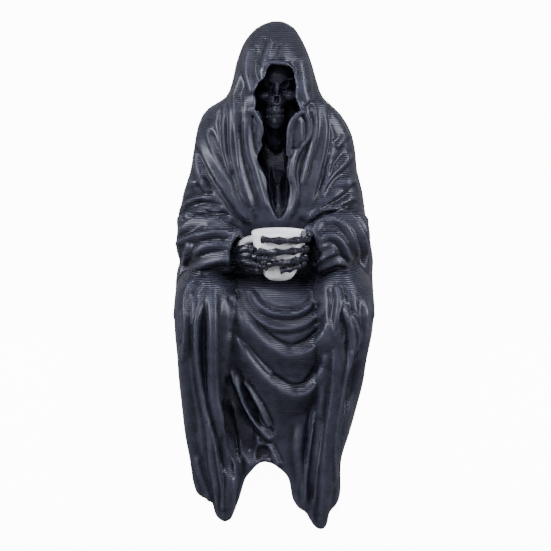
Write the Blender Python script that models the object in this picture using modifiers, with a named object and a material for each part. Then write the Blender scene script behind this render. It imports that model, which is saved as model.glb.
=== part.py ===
"""Seated hooded skeleton with a coffee cup, made to sit on the front edge of a shelf.

The origin lies on the seat, at the front edge of the shelf and half way across the figure.
X is the width, -Y the front and Z up. Tables are in millimetres.
"""

import math

import bmesh
import bpy
import numpy as np
from mathutils import Matrix, Vector

MM = 0.001

# the shelf corner that the figure sits on
SHELF_FRONT_Y = -1.0

# cup; its profile is given as shares of the top radius and of the height
CUP_CENTRE = (1.4, -10.0)
CUP_BASE_Z = 26.8
CUP_HEIGHT = 19.0
CUP_TOP_RADIUS = 10.7
CUP_WALL = 1.3
CUP_FLOOR = 1.6
CUP_CLEARANCE = 0.3
CUP_SEGMENTS = 24
CUP_PROFILE = (
    (0.31, 0.0), (0.42, 0.03), (0.55, 0.1), (0.68, 0.24), (0.81, 0.44), (0.91, 0.69), (1.0, 1.0),
)

# handle of the cup: thickness, reach from the axis, and its two ends as shares of the height
HANDLE_RADIUS = 1.5
HANDLE_REACH = 5.4
HANDLE_BACK = 5.0
HANDLE_TOP = 0.77
HANDLE_LOW = 0.33

# fineness of the carved surface, and the triangles kept on each part of it
ROBE_VOXEL = 0.9
BONE_VOXEL = 0.5
ROBE_TRIANGLES = 6200
SKULL_TRIANGLES = 640
HANDS_TRIANGLES = 1300

# the carving is laid out in a front view seen from slightly above
VIEW_TILT = math.radians(9.0)
VIEW_DISTANCE = 620.0
VIEW_CENTRE = (0.0, 5.0, 26.0)

# hood, torso and seat: height, left, right, front, widest, back, squareness
BELL = (
    (0.0, -40.6, 38.3, -6.0, 24.0, 56.0, 2.9),
    (5.0, -40.8, 40.2, -9.0, 24.0, 56.0, 2.7),
    (14.0, -41.0, 39.8, -9.0, 24.0, 55.5, 2.5),
    (23.0, -41.0, 39.2, 2.0, 24.0, 55.0, 2.4),
    (28.5, -39.4, 39.6, 4.0, 24.0, 54.5, 2.4),
    (34.7, -40.6, 38.7, 4.0, 24.0, 54.0, 2.4),
    (40.0, -38.4, 37.6, 4.0, 24.0, 53.5, 2.3),
    (48.4, -39.2, 36.2, 2.5, 24.0, 53.0, 2.3),
    (56.6, -37.6, 35.2, 2.0, 24.0, 52.5, 2.3),
    (66.0, -34.6, 32.8, 2.0, 24.0, 51.5, 2.3),
    (74.0, -33.3, 32.2, 2.0, 24.0, 50.5, 2.2),
    (80.0, -32.3, 31.0, 1.5, 24.0, 49.5, 2.2),
    (84.5, -31.2, 29.0, 0.8, 24.0, 49.0, 2.1),
    (88.5, -29.4, 26.4, 0.0, 24.0, 48.5, 2.0),
    (91.4, -26.8, 23.6, -0.6, 23.5, 48.0, 2.0),
    (93.5, -23.2, 21.2, -0.8, 23.0, 47.5, 2.0),
    (95.6, -20.0, 19.0, -1.0, 22.5, 47.0, 2.0),
    (98.6, -18.3, 17.6, -1.0, 22.0, 46.5, 2.0),
    (104.0, -16.8, 16.0, -0.6, 22.0, 46.0, 2.0),
    (108.6, -15.9, 14.7, 0.6, 22.5, 44.5, 2.0),
    (112.7, -14.6, 13.3, 3.2, 23.0, 43.0, 2.0),
    (116.8, -13.0, 11.5, 7.5, 24.0, 41.0, 2.0),
    (120.0, -10.8, 9.7, 12.0, 25.0, 38.5, 2.0),
    (122.9, -8.0, 7.9, 17.0, 26.5, 35.5, 2.0),
    (124.7, -4.8, 5.2, 20.5, 27.5, 33.0, 2.0),
    (125.8, -1.4, 2.6, 24.0, 27.5, 30.0, 2.0),
)

# sleeves: x, y, z, half height, half width
LEFT_SLEEVE = (
    (-20.0, 24.0, 84.0, 7.0, 7.0),
    (-24.0, 20.0, 74.0, 8.0, 8.0),
    (-27.0, 15.5, 60.0, 9.0, 9.0),
    (-30.0, 11.5, 46.0, 10.5, 9.6),
    (-30.4, 4.5, 39.5, 12.2, 9.5),
    (-24.0, -5.0, 39.5, 11.0, 9.0),
    (-15.2, -8.8, 37.6, 8.6, 7.6),
)
RIGHT_SLEEVE = (
    (19.0, 24.0, 84.0, 7.0, 7.0),
    (22.5, 20.0, 74.0, 8.0, 8.0),
    (24.5, 15.5, 60.0, 9.0, 9.0),
    (27.6, 11.5, 46.0, 10.5, 9.6),
    (28.5, 5.0, 41.5, 11.5, 9.5),
    (22.5, -5.0, 41.0, 11.0, 9.0),
    (13.9, -8.8, 38.8, 9.2, 7.6),
)

# knees and thighs under the robe: height, left, right, front, widest, back, squareness
LEFT_KNEE = (
    (-48.0, -32.6, -22.0, -7.6, -5.0, -1.0, 2.0),
    (-38.0, -34.8, -21.0, -10.2, -6.0, -1.0, 2.1),
    (-26.0, -36.5, -20.0, -13.0, -6.0, -1.0, 2.2),
    (-10.0, -38.2, -17.0, -16.0, -5.0, 2.0, 2.3),
    (4.0, -39.8, -14.5, -18.6, 0.0, 20.0, 2.4),
    (14.0, -40.4, -13.5, -19.4, 4.0, 30.0, 2.3),
    (20.0, -39.8, -13.5, -18.2, 5.0, 32.0, 2.2),
    (24.5, -38.0, -14.5, -15.6, 5.0, 32.0, 2.1),
    (28.0, -35.0, -17.0, -11.4, 6.0, 30.0, 2.0),
    (31.0, -30.0, -21.0, -5.0, 6.0, 26.0, 2.0),
)
RIGHT_KNEE = (
    (-48.0, 17.5, 25.4, -7.6, -5.0, -1.0, 2.0),
    (-38.0, 18.0, 28.2, -10.2, -6.0, -1.0, 2.1),
    (-26.0, 18.0, 31.0, -13.0, -6.0, -1.0, 2.2),
    (-10.0, 15.5, 35.0, -16.0, -5.0, 2.0, 2.3),
    (4.0, 13.5, 38.2, -18.6, 0.0, 20.0, 2.4),
    (14.0, 13.0, 39.4, -19.4, 4.0, 30.0, 2.3),
    (20.5, 12.5, 38.8, -18.2, 5.0, 32.0, 2.2),
    (25.0, 13.0, 37.0, -15.6, 5.0, 32.0, 2.1),
    (29.0, 15.0, 34.0, -11.4, 6.0, 30.0, 2.0),
    (32.0, 20.0, 29.5, -5.0, 6.0, 26.0, 2.0),
)

# shins under the hanging cloth: x, y, z, radius
LEFT_SHIN = (
    (-27.5, -8.0, 0.0, 8.5),
    (-25.5, -8.0, -30.0, 6.8),
    (-22.2, -7.5, -54.0, 5.0),
    (-20.8, -6.5, -65.0, 3.2),
)
RIGHT_SHIN = (
    (26.0, -8.0, 0.0, 8.5),
    (23.0, -8.0, -30.0, 6.8),
    (18.5, -7.5, -54.0, 5.0),
    (17.6, -6.5, -67.0, 3.2),
)

# cloth between the knees: height, left, right, front, widest, back, squareness
LAP = (
    (-34.0, -16.0, 16.0, -8.0, -3.0, 1.0, 2.0),
    (-20.0, -22.0, 22.0, -11.5, -3.0, 1.0, 2.2),
    (-4.0, -26.0, 26.0, -14.0, 0.0, 12.0, 2.6),
    (8.0, -27.0, 27.0, -15.2, 2.0, 20.0, 2.6),
    (15.0, -26.0, 26.0, -13.8, 4.0, 20.0, 2.6),
    (20.0, -25.0, 25.0, -11.0, 5.0, 20.0, 2.4),
    (23.5, -24.0, 24.0, -6.5, 6.0, 20.0, 2.2),
    (26.0, -22.0, 22.0, 0.5, 6.0, 18.0, 2.0),
)

# cloth in front of the shelf: height, left edge, right edge; then its lower edge, x, z from left to right
DRAPE_SIDES = (
    (16.0, -37.0, 36.0),
    (8.0, -39.2, 37.8),
    (0.0, -38.9, 35.7),
    (-12.0, -38.4, 35.2),
    (-24.0, -37.2, 32.4),
    (-36.0, -36.0, 29.2),
    (-46.0, -34.2, 26.2),
    (-54.0, -33.2, 26.0),
)
DRAPE_HEM = (
    (-32.4, -57.5), (-31.2, -60.5), (-28.4, -62.4), (-25.9, -62.9), (-25.0, -65.4), (-24.0, -69.4), (-21.0, -71.8),
    (-17.8, -70.8), (-15.9, -66.5), (-14.0, -61.4), (-12.2, -54.8), (-10.2, -52.0), (-7.1, -48.3), (-3.9, -47.4),
    (-1.2, -48.2), (2.0, -50.4), (4.7, -53.2), (5.8, -57.1), (6.7, -62.6), (9.6, -66.8), (11.7, -67.6),
    (13.5, -70.9), (15.9, -74.4), (18.6, -75.1), (20.6, -73.0), (21.0, -67.8), (21.6, -66.4), (24.2, -64.5),
    (25.9, -61.0),
)
DRAPE_ROUNDING = ((-1.2, 0.0), (-6.5, 0.0), (-7.8, 0.5), (-8.5, 1.5))

# opening of the hood and of the neck below it: rims as x, z from the top down, and how deep it goes at a height
OPENING_LEFT = (
    (-1.3, 108.8), (-3.2, 107.2), (-4.1, 104.3), (-6.0, 102.2), (-7.3, 100.3), (-8.6, 97.9), (-7.6, 95.5),
    (-7.8, 92.6), (-9.1, 89.4), (-8.5, 85.8), (-6.4, 81.9), (-5.1, 77.6), (-6.7, 74.5), (-6.8, 71.4),
    (-5.4, 68.7), (-3.4, 64.2), (-3.1, 59.7), (-2.0, 55.2), (-0.4, 51.4), (1.0, 49.6),
)
OPENING_RIGHT = (
    (4.6, 108.3), (6.7, 106.3), (7.2, 103.6), (7.9, 100.3), (7.6, 96.2), (9.1, 92.6), (9.9, 89.5),
    (11.0, 85.0), (10.8, 80.8), (8.4, 77.8), (5.8, 75.3), (4.7, 70.9), (4.3, 66.4), (5.4, 62.7),
    (5.3, 58.2), (4.3, 53.7), (2.8, 50.4),
)
OPENING_DEPTHS = (
    (50.0, 6.5), (56.0, 9.0), (64.0, 12.0), (76.0, 14.0), (86.0, 14.5), (100.0, 15.5), (110.0, 14.5),
)
OPENING_SHARES = ((0.0, 1.0), (0.4, 1.03), (0.75, 0.98), (0.95, 0.86), (1.0, 0.62))
OPENING_FRONT_Y = -14.0

# turned edges of cloth inside the opening: x, y, z, radius
LEFT_CURL = (
    (-9.2, 0.6, 92.0, 1.0), (-6.9, 1.0, 88.6, 1.0), (-5.7, 1.4, 85.4, 1.1), (-5.8, 1.8, 82.0, 1.0),
    (-6.4, 2.2, 79.4, 0.8),
)
RIGHT_CURL = (
    (11.0, 1.2, 91.4, 1.0), (7.6, 1.0, 88.8, 1.1), (5.8, 1.4, 85.4, 1.2), (5.3, 1.8, 81.4, 1.2),
    (5.3, 2.6, 77.6, 1.2), (5.4, 3.4, 73.6, 1.2),
)

# lobes of cloth that fill the turned edges: name, centre, half sizes
LOBES = (
    ("left_lobe", (-7.2, 2.6, 86.4), (1.9, 1.4, 5.0)),
    ("right_lobe", (8.3, 2.8, 83.4), (2.8, 1.4, 7.2)),
)

# folds in the front view: start x, y, end x, y, bow, sway, height, half width,
# side that drops away (1 is the viewer's right of a line that runs down, -1 the left, 0 both)
FOLDS = (
    # hood
    (-1.2, 97.9, -5.5, 81.0, 0.3, -0.0, 1.4, 1.2, 0),
    (-3.9, 86.1, 8.7, 79.4, 1.3, -0.2, 0.9, 1.1, 0),
    (-9.5, 94.4, -8.7, 71.5, -3.1, 0.0, 1.1, 1.5, 0),
    (-15.0, 77.8, -9.8, 29.7, -2.0, 0.4, 1.7, 1.4, 0),
    (-17.3, 76.2, -13.0, 33.7, -1.9, 0.3, 1.5, 1.3, -1),
    (-19.7, 68.4, -16.5, 39.2, -1.3, 0.1, 1.3, 1.3, 0),
    (-10.6, 71.1, -1.2, 26.6, -1.5, -0.2, 1.4, 1.2, 1),
    (-12.2, 64.4, -3.5, 25.8, -2.5, 0.0, 1.2, 1.5, 0),
    (10.2, 87.3, 13.8, 62.1, 0.7, -0.0, 1.0, 1.8, 0),
    (15.0, 77.8, 7.1, 29.7, 4.3, 0.8, 1.7, 1.4, 0),
    (17.7, 73.1, 9.8, 31.3, 4.1, 0.6, 1.6, 1.3, 1),
    (8.7, 76.2, 8.3, 50.2, 3.2, -0.7, 1.4, 1.2, -1),
    (9.5, 52.6, 3.2, 24.2, -0.7, -1.2, 1.4, 1.1, -1),
    (13.8, 64.4, 5.9, 28.2, -0.1, 0.3, 1.1, 1.2, 0),
    # shoulders
    (-24.8, 67.6, -11.8, 25.0, -4.9, -1.0, 1.8, 1.5, -1),
    (-29.2, 61.3, -18.1, 28.6, -3.7, -0.0, 1.4, 1.5, 0),
    (-31.5, 53.4, -26.0, 31.3, -2.2, 0.2, 1.2, 1.5, 0),
    (22.1, 66.0, 11.8, 29.0, 4.0, 0.9, 1.5, 1.5, 1),
    (28.4, 57.3, 16.5, 36.1, 0.4, 0.2, 1.3, 1.4, 0),
    (31.5, 51.0, 16.5, 32.1, -0.0, 0.1, 1.6, 1.4, 1),
    (31.5, 44.3, 12.6, 25.8, 1.1, -0.0, 1.6, 1.4, 1),
    (32.3, 36.8, 21.3, 27.8, 0.7, 0.1, 1.2, 1.4, 0),
    # sleeves
    (-36.6, 28.6, -20.5, 30.1, 2.4, -0.1, 1.2, 1.4, 0),
    (-39.0, 23.4, -21.3, 27.8, 1.6, -0.0, 1.3, 1.4, 0),
    (-39.4, 17.5, -15.8, 20.7, 4.4, -0.3, 1.7, 1.4, 0),
    (-37.4, 13.6, -17.7, 17.1, 2.3, -0.1, 1.3, 1.4, 0),
    (-40.6, 9.7, -17.7, 12.8, 1.3, -0.2, 1.3, 1.5, 0),
    (-39.8, 2.2, -17.7, 6.9, 2.3, -0.1, 1.3, 1.6, 0),
    (10.2, 19.9, 28.4, 24.6, 3.3, -0.0, 1.5, 1.4, 0),
    (22.9, 26.2, 37.8, -1.8, 3.8, 0.6, 1.8, 1.5, 0),
    (16.5, 19.1, 33.9, 0.6, 6.7, 1.3, 1.3, 1.5, 0),
    (14.2, 12.0, 31.5, 0.6, 7.2, 1.0, 1.3, 1.5, 0),
    (14.6, 1.4, 26.0, 6.9, 1.0, 0.0, 1.1, 1.4, 0),
    (35.9, 27.4, 29.2, 35.3, -1.6, 0.1, 1.1, 1.4, 0),
    # lap
    (-11.0, -4.1, 11.8, -8.9, -5.8, -0.1, 1.3, 1.3, 0),
    (-13.8, -7.3, 17.3, -10.8, -9.6, 0.3, 1.2, 1.5, 0),
    (-17.7, -8.1, 11.8, -29.7, -7.0, 1.1, 2.3, 1.6, 1),
    (2.4, -30.9, 22.1, -12.0, -5.8, -0.6, 2.3, 1.6, 1),
    (-19.7, -16.7, 12.2, -45.9, -6.5, 1.9, 2.1, 1.5, 1),
    (3.2, -47.1, 19.7, -27.8, -5.8, -1.0, 2.1, 1.5, 1),
    (-13.8, -24.6, -0.8, -42.0, -0.2, 0.0, 0.9, 1.0, 0),
    (-17.7, -34.9, 1.6, -75.8, -0.8, -0.8, 1.9, 1.3, 0),
    (-14.2, -40.4, -2.4, -63.2, 0.2, 0.0, 0.9, 1.0, 0),
    # left leg
    (-31.1, -3.0, -23.6, -83.7, -2.9, -1.1, 2.0, 1.4, 0),
    (-36.2, -8.9, -34.3, -47.5, -0.5, -0.1, 1.4, 1.4, 0),
    (-39.0, -24.6, -33.5, -71.1, -0.7, -0.0, 0.9, 1.4, 0),
    (-24.8, -4.9, -14.2, -86.9, -2.4, -0.1, 2.6, 1.7, 1),
    (-28.0, -8.9, -19.7, -92.4, -1.5, -1.1, 1.2, 1.6, 0),
    (-30.7, -60.1, -27.2, -85.3, 0.2, -0.0, 1.0, 1.4, 0),
    # right leg
    (27.6, -8.5, 18.1, -94.8, 0.5, 1.0, 2.1, 1.4, 0),
    (24.0, -6.9, 16.9, -71.1, 2.4, 0.0, 1.4, 1.3, 0),
    (29.9, -15.2, 22.5, -60.1, 2.9, 1.1, 1.5, 1.3, 0),
    (35.5, -24.6, 28.4, -58.5, 0.9, 0.2, 1.1, 1.4, 0),
    (22.1, -12.0, 11.4, -85.3, 0.8, 0.4, 2.2, 1.5, -1),
    (16.9, -49.1, 9.8, -78.2, 0.4, -0.0, 1.1, 1.3, 0),
    (25.6, -59.3, 21.3, -86.9, -0.4, 0.0, 1.1, 1.4, 0),
    (-2.0, -75.8, 5.9, -90.0, 1.1, 0.0, 0.7, 1.4, 0),
)

FOLD_VALLEY = 0.7
FOLD_SLOPE = 3.5
FOLD_FADE = 0.18
FOLD_END = 0.2

# deep hollows between folds: centre in the front view, half sizes, turn, depth
HOLLOWS = (
    ((-17.7, -62.4), (3.0, 10.6), 8.0, 3.6),
    ((-11.8, -63.2), (3.5, 9.5), 14.0, 2.8),
    ((-5.1, -71.1), (3.0, 3.3), 0.0, 2.8),
    ((-9.5, -51.4), (1.6, 8.7), 24.0, 2.6),
    ((-19.7, -70.7), (2.4, 7.9), 10.0, 2.2),
    ((30.3, -44.3), (1.2, 9.5), -16.0, 1.6),
    ((-28.0, -27.4), (1.2, 15.8), 0.0, 0.8),
)

# pleats round the back: number, depth at the seat
PLEATS = 15
PLEAT_DEPTH = 1.5

# skull: name, centre, half sizes; then the sockets and the nose
SKULL_FORMS = (
    ("cranium", (0.6, 16.0, 104.6), (7.6, 9.6, 8.4)),
    ("brow", (0.7, 9.0, 103.4), (6.6, 2.6, 1.6)),
    ("nose_bridge", (0.5, 7.6, 99.4), (1.2, 2.0, 3.4)),
    ("cheek_left", (-4.2, 9.0, 96.6), (2.9, 3.2, 1.9)),
    ("cheek_right", (5.6, 9.0, 96.2), (3.2, 3.2, 1.8)),
    ("upper_jaw", (0.2, 10.8, 94.6), (4.4, 5.0, 3.6)),
    ("teeth", (-0.1, 10.2, 90.6), (4.1, 4.6, 3.6)),
    ("lower_jaw", (-0.1, 10.4, 86.8), (4.2, 4.8, 3.6)),
    ("neck", (0.0, 16.0, 88.0), (5.0, 5.4, 14.0)),
)
SKULL_HOLLOWS = (
    ((-3.4, 6.8, 100.6), (2.6, 3.2, 2.2)),
    ((4.7, 6.8, 100.4), (2.9, 3.2, 2.4)),
    ((0.4, 5.8, 95.4), (1.1, 2.6, 1.8)),
)

# fingers round the cup: start and end height, start and end angle from the front, radius
LEFT_FINGERS = (
    (39.4, 38.6, -78.0, -58.0, 1.2),
    (36.8, 36.0, -78.0, -8.0, 1.2),
    (33.6, 32.8, -76.0, -30.0, 1.2),
    (31.2, 30.6, -84.0, -58.0, 1.1),
)
RIGHT_FINGERS = (
    (43.0, 43.8, 98.0, -33.0, 1.2),
    (39.6, 38.9, 100.0, -42.0, 1.2),
    (36.6, 34.2, 100.0, -24.0, 1.2),
    (34.2, 31.6, 98.0, 2.0, 1.15),
    (44.0, 45.6, 98.0, 50.0, 1.1),
)
LEFT_WRIST = (-21.0, -6.0, 36.0)
RIGHT_WRIST = (19.8, -5.0, 40.0)
PALMS = (
    ("left_palm", (-19.0, -8.4, 34.8), (2.8, 2.8, 4.2)),
    ("right_palm", (17.0, -7.2, 38.4), (2.9, 3.0, 5.2)),
)

# hollow in the end of each sleeve
CUFF_WALL = 2.4
CUFF_DEPTH = 4.0


def remove_everything():
    for item in list(bpy.data.objects):
        bpy.data.objects.remove(item, do_unlink=True)


def new_collection(name):
    group = bpy.data.collections.new(name)
    bpy.context.scene.collection.children.link(group)
    return group


def add_object(name, mesh, group):
    item = bpy.data.objects.new(name, mesh)
    group.objects.link(item)
    return item


def evaluated_mesh(item):
    bpy.context.view_layer.update()
    graph = bpy.context.evaluated_depsgraph_get()
    return bpy.data.meshes.new_from_object(item.evaluated_get(graph), depsgraph=graph)


def skin(name, rings, group):
    """Closed skin through rings with the same number of points."""
    bm = bmesh.new()
    loops = [[bm.verts.new(Vector(point) * MM) for point in ring] for ring in rings]
    for low, high in zip(loops, loops[1:]):
        for i in range(len(low)):
            j = (i + 1) % len(low)
            bm.faces.new((low[i], low[j], high[j], high[i]))
    bm.faces.new(list(reversed(loops[0])))
    bm.faces.new(loops[-1])
    bmesh.ops.recalc_face_normals(bm, faces=bm.faces)
    mesh = bpy.data.meshes.new(name)
    bm.to_mesh(mesh)
    bm.free()
    return add_object(name, mesh, group)


def oval_ring(section, count=40):
    """Level ring whose left, right, front and back reach are given."""
    z, left, right, front, widest, back, square = section
    ring = []
    for k in range(count):
        angle = 2.0 * math.pi * k / count
        across = math.copysign(abs(math.cos(angle)) ** (2.0 / square), math.cos(angle))
        along = math.copysign(abs(math.sin(angle)) ** (2.0 / square), math.sin(angle))
        x = (left + right) / 2.0 + across * (right - left) / 2.0
        y = widest + along * (back - widest if along > 0.0 else widest - front)
        ring.append((x, y, z))
    return ring


def sleeve(name, stations, group, count=24):
    """Oval tube, taller than wide, through the stations."""
    rings = []
    for i, (x, y, z, half_height, half_width) in enumerate(stations):
        before = Vector(stations[max(i - 1, 0)][:3])
        after = Vector(stations[min(i + 1, len(stations) - 1)][:3])
        forward = (after - before).normalized()
        side = forward.cross(Vector((0.0, 0.0, 1.0)))
        if side.length < 0.35:
            side = forward.cross(Vector((0.0, 1.0, 0.0)))
        side.normalize()
        rise = side.cross(forward).normalized()
        ring = []
        for k in range(count):
            angle = 2.0 * math.pi * k / count
            offset = side * (half_width * math.cos(angle)) + rise * (half_height * math.sin(angle))
            ring.append(Vector((x, y, z)) + offset)
        rings.append(ring)
    return skin(name, rings, group)


def tube(name, points, group, resolution=5):
    """Round rod along a smooth curve; every point is x, y, z, radius."""
    curve = bpy.data.curves.new(name, "CURVE")
    curve.dimensions = "3D"
    curve.bevel_depth = MM
    curve.bevel_resolution = resolution
    curve.use_fill_caps = True
    curve.resolution_u = 6
    spline = curve.splines.new("BEZIER")
    spline.bezier_points.add(len(points) - 1)
    for knot, (x, y, z, radius) in zip(spline.bezier_points, points):
        knot.co = Vector((x, y, z)) * MM
        knot.radius = radius
        knot.handle_left_type = "AUTO"
        knot.handle_right_type = "AUTO"
    return add_object(name, curve, group)


def ball(name, centre, radii, group, levels=3):
    bm = bmesh.new()
    bmesh.ops.create_icosphere(bm, subdivisions=levels, radius=1.0)
    for vert in bm.verts:
        vert.co = Vector([(c + r * v) * MM for c, r, v in zip(centre, radii, vert.co)])
    mesh = bpy.data.meshes.new(name)
    bm.to_mesh(mesh)
    bm.free()
    return add_object(name, mesh, group)


def smooth_loop(points, steps=4):
    """Closed smooth curve through the points."""
    count = len(points)
    loop = []
    for i in range(count):
        p0, p1, p2, p3 = (np.array(points[(i + k) % count]) for k in (-1, 0, 1, 2))
        for k in range(steps):
            t = k / steps
            loop.append(0.5 * (2 * p1 + (p2 - p0) * t + (2 * p0 - 5 * p1 + 4 * p2 - p3) * t * t
                               + (3 * p1 - p0 - 3 * p2 + p3) * t ** 3))
    return loop


def hanging_cloth(group):
    """Cloth in front of the shelf, with its front edge rounded."""
    left = [(x, z) for z, x, _ in DRAPE_SIDES]
    right = [(x, z) for z, _, x in reversed(DRAPE_SIDES)]
    outline = smooth_loop([*left, *DRAPE_HEM, *right, (0.0, DRAPE_SIDES[0][0] + 1.0)], 2)
    rings = []
    for y, inset in DRAPE_ROUNDING:
        ring = []
        for i, point in enumerate(outline):
            ahead = outline[(i + 1) % len(outline)] - outline[i - 1]
            inward = np.array((-ahead[1], ahead[0])) / np.linalg.norm(ahead)
            spot = point + inward * inset
            ring.append((spot[0], y, spot[1]))
        rings.append(ring)
    return skin("hanging_cloth", rings, group)


def opening_cutter(group):
    """Solid that hollows the hood and the neck opening; it is deeper in the hood."""
    outline = smooth_loop([*OPENING_LEFT, *reversed(OPENING_RIGHT)], 2)
    heights, depths = zip(*OPENING_DEPTHS)
    middle = (heights[0] + heights[-1]) / 2.0
    rings = [[(x, OPENING_FRONT_Y, z) for x, z in outline]]
    for share, scale in OPENING_SHARES:
        rings.append([(x * scale, share * np.interp(z, heights, depths), middle + (z - middle) * scale)
                      for x, z in outline])
    return skin("opening_cutter", rings, group)


def cuff_cutter(name, stations, group):
    """Tapered hollow in the end of a sleeve."""
    *_, before, last = stations
    end = Vector(last[:3])
    ahead = (end - Vector(before[:3])).normalized()
    rings = []
    for along, scale in ((-1.0, 0.55), (-0.75, 0.9), (0.0, 1.0), (0.8, 1.05)):
        height, width = ((size - CUFF_WALL) * scale for size in last[3:])
        rings.append((*(end + ahead * along * CUFF_DEPTH), height, width))
    return sleeve(name, rings, group)


def apply_boolean(item, cutter, operation):
    modifier = item.modifiers.new(operation.lower(), "BOOLEAN")
    modifier.operation = operation
    modifier.solver = "EXACT"
    modifier.object = cutter
    item.data = evaluated_mesh(item)
    item.modifiers.clear()


def join(name, items, group):
    """One mesh that holds the evaluated shapes of the items."""
    bm = bmesh.new()
    for item in items:
        bm.from_mesh(evaluated_mesh(item))
    mesh = bpy.data.meshes.new(name)
    bm.to_mesh(mesh)
    bm.free()
    for item in items:
        bpy.data.objects.remove(item, do_unlink=True)
    return add_object(name, mesh, group)


def melt(item, voxel, rounds):
    """Fuse overlapping shapes into one skin and soften it."""
    remesh = item.modifiers.new("remesh", "REMESH")
    remesh.mode = "VOXEL"
    remesh.voxel_size = voxel * MM
    if rounds:
        smooth = item.modifiers.new("smooth", "SMOOTH")
        smooth.factor = 0.5
        smooth.iterations = rounds
    item.data = evaluated_mesh(item)
    item.modifiers.clear()


def fuse(name, items, voxel, rounds, triangles, group):
    """Overlapping items as one skin with about the given number of triangles."""
    item = join(name, items, group)
    item.name = name
    melt(item, voxel, rounds)
    reduce_to(item, triangles)
    return item


def reduce_to(item, triangles):
    decimate = item.modifiers.new("facets", "DECIMATE")
    decimate.ratio = triangles / sum(len(face.vertices) - 2 for face in item.data.polygons)
    item.data = evaluated_mesh(item)
    item.modifiers.clear()


def front_view(points):
    """Points in millimetres as seen in the front view: across, up."""
    across, along, up = (points - np.array(VIEW_CENTRE)).T
    depth = along * math.cos(VIEW_TILT) - up * math.sin(VIEW_TILT)
    rise = up * math.cos(VIEW_TILT) + along * math.sin(VIEW_TILT)
    scale = VIEW_DISTANCE / (VIEW_DISTANCE + depth)
    return np.stack((across * scale, rise * scale), axis=1)


def fold_line(start, end, bow, sway, steps=28):
    """Points along a fold; it bows to its left and sways to both sides of the straight line."""
    share = np.linspace(0.0, 1.0, steps)[:, None]
    chord = end - start
    across = np.array((-chord[1], chord[0])) / np.linalg.norm(chord)
    aside = bow * 4.0 * share * (1.0 - share) + sway * np.sin(2.0 * math.pi * share)
    return start + share * chord + aside * across


def fold_height(view):
    """Height of the carved folds at each point of the front view."""
    height = np.zeros(len(view))
    for x0, y0, x1, y1, bow, sway, ridge, width, side in FOLDS:
        line = fold_line(np.array((x0, y0)), np.array((x1, y1)), bow, sway)
        reach = 6.0 * width
        near = np.all((view > line.min(axis=0) - reach) & (view < line.max(axis=0) + reach), axis=1)
        if not near.any():
            continue
        spots = view[near]
        nearest = np.full(len(spots), 1e9)
        offset = np.zeros(len(spots))
        share = np.zeros(len(spots))
        for i in range(len(line) - 1):
            start, step = line[i], line[i + 1] - line[i]
            length = np.linalg.norm(step)
            ahead = step / length
            run = np.clip((spots - start) @ ahead, 0.0, length)
            gap = spots - start - run[:, None] * ahead
            distance = np.linalg.norm(gap, axis=1)
            closer = distance < nearest
            nearest[closer] = distance[closer]
            turn = np.sign(ahead[0] * gap[:, 1] - ahead[1] * gap[:, 0])
            offset[closer] = (turn * distance)[closer]
            share[closer] = ((i + run / length) / (len(line) - 1))[closer]
        fade = np.clip(np.minimum(share, 1.0 - share) / FOLD_FADE, 0.0, 1.0)
        fade = FOLD_END + (1.0 - FOLD_END) * fade * fade * (3.0 - 2.0 * fade)
        beside = nearest if side == 0 else offset * side
        crest_width = np.where(beside > 0.0, width, FOLD_SLOPE * width)
        crest = np.exp(-(beside / crest_width) ** 2)
        trough = np.exp(-((beside - 1.8 * width) / (0.9 * width)) ** 2)
        height[near] += fade * ridge * (crest - FOLD_VALLEY * trough)
    return height


def hollow_depth(view):
    """Depth of the hollows at each point of the front view."""
    depth = np.zeros(len(view))
    for centre, (half_width, half_height), turn, deep in HOLLOWS:
        cosine, sine = math.cos(math.radians(turn)), math.sin(math.radians(turn))
        away = view - np.array(centre)
        along_width = (away[:, 0] * cosine + away[:, 1] * sine) / half_width
        along_height = (away[:, 1] * cosine - away[:, 0] * sine) / half_height
        share = np.clip(1.35 - np.hypot(along_width, along_height), 0.0, 0.7) / 0.7
        depth = np.maximum(depth, deep * share * share * (3.0 - 2.0 * share))
    return depth


def carve(item):
    """Draw the folds into the front and pleats into the back."""
    mesh = item.data
    count = len(mesh.vertices)
    flat = np.empty(count * 3)
    mesh.vertices.foreach_get("co", flat)
    points = flat.reshape(-1, 3) / MM
    mesh.vertices.foreach_get("normal", flat)
    normals = flat.reshape(-1, 3)
    facing = np.clip((-normals[:, 1] - 0.08) / 0.4, 0.0, 1.0)
    view = front_view(points)
    lift = (fold_height(view) - hollow_depth(view)) * facing

    angle = np.arctan2(points[:, 0], points[:, 1] - 10.0)
    grow = np.clip((96.0 - points[:, 2]) / 80.0, 0.0, 1.0)
    behind = np.clip((normals[:, 1] + 0.45) / 0.6, 0.0, 1.0) * np.clip((points[:, 1] - 6.0) / 10.0, 0.0, 1.0)
    phase = PLEATS * angle + 1.1 * np.sin(3.0 * angle + points[:, 2] / 30.0)
    lift += PLEAT_DEPTH * grow * behind * (np.abs(np.sin(phase / 2.0)) * 2.0 - 1.2)

    points += normals * lift[:, None]
    mesh.vertices.foreach_set("co", (points * MM).ravel())
    mesh.update()


def cup_profile():
    """Outer radius and height above the base, bottom to top."""
    return [(r * CUP_TOP_RADIUS, h * CUP_HEIGHT) for r, h in CUP_PROFILE]


def cup_radius(z):
    radii, heights = zip(*cup_profile())
    return float(np.interp(z - CUP_BASE_Z, heights, radii))


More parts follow.
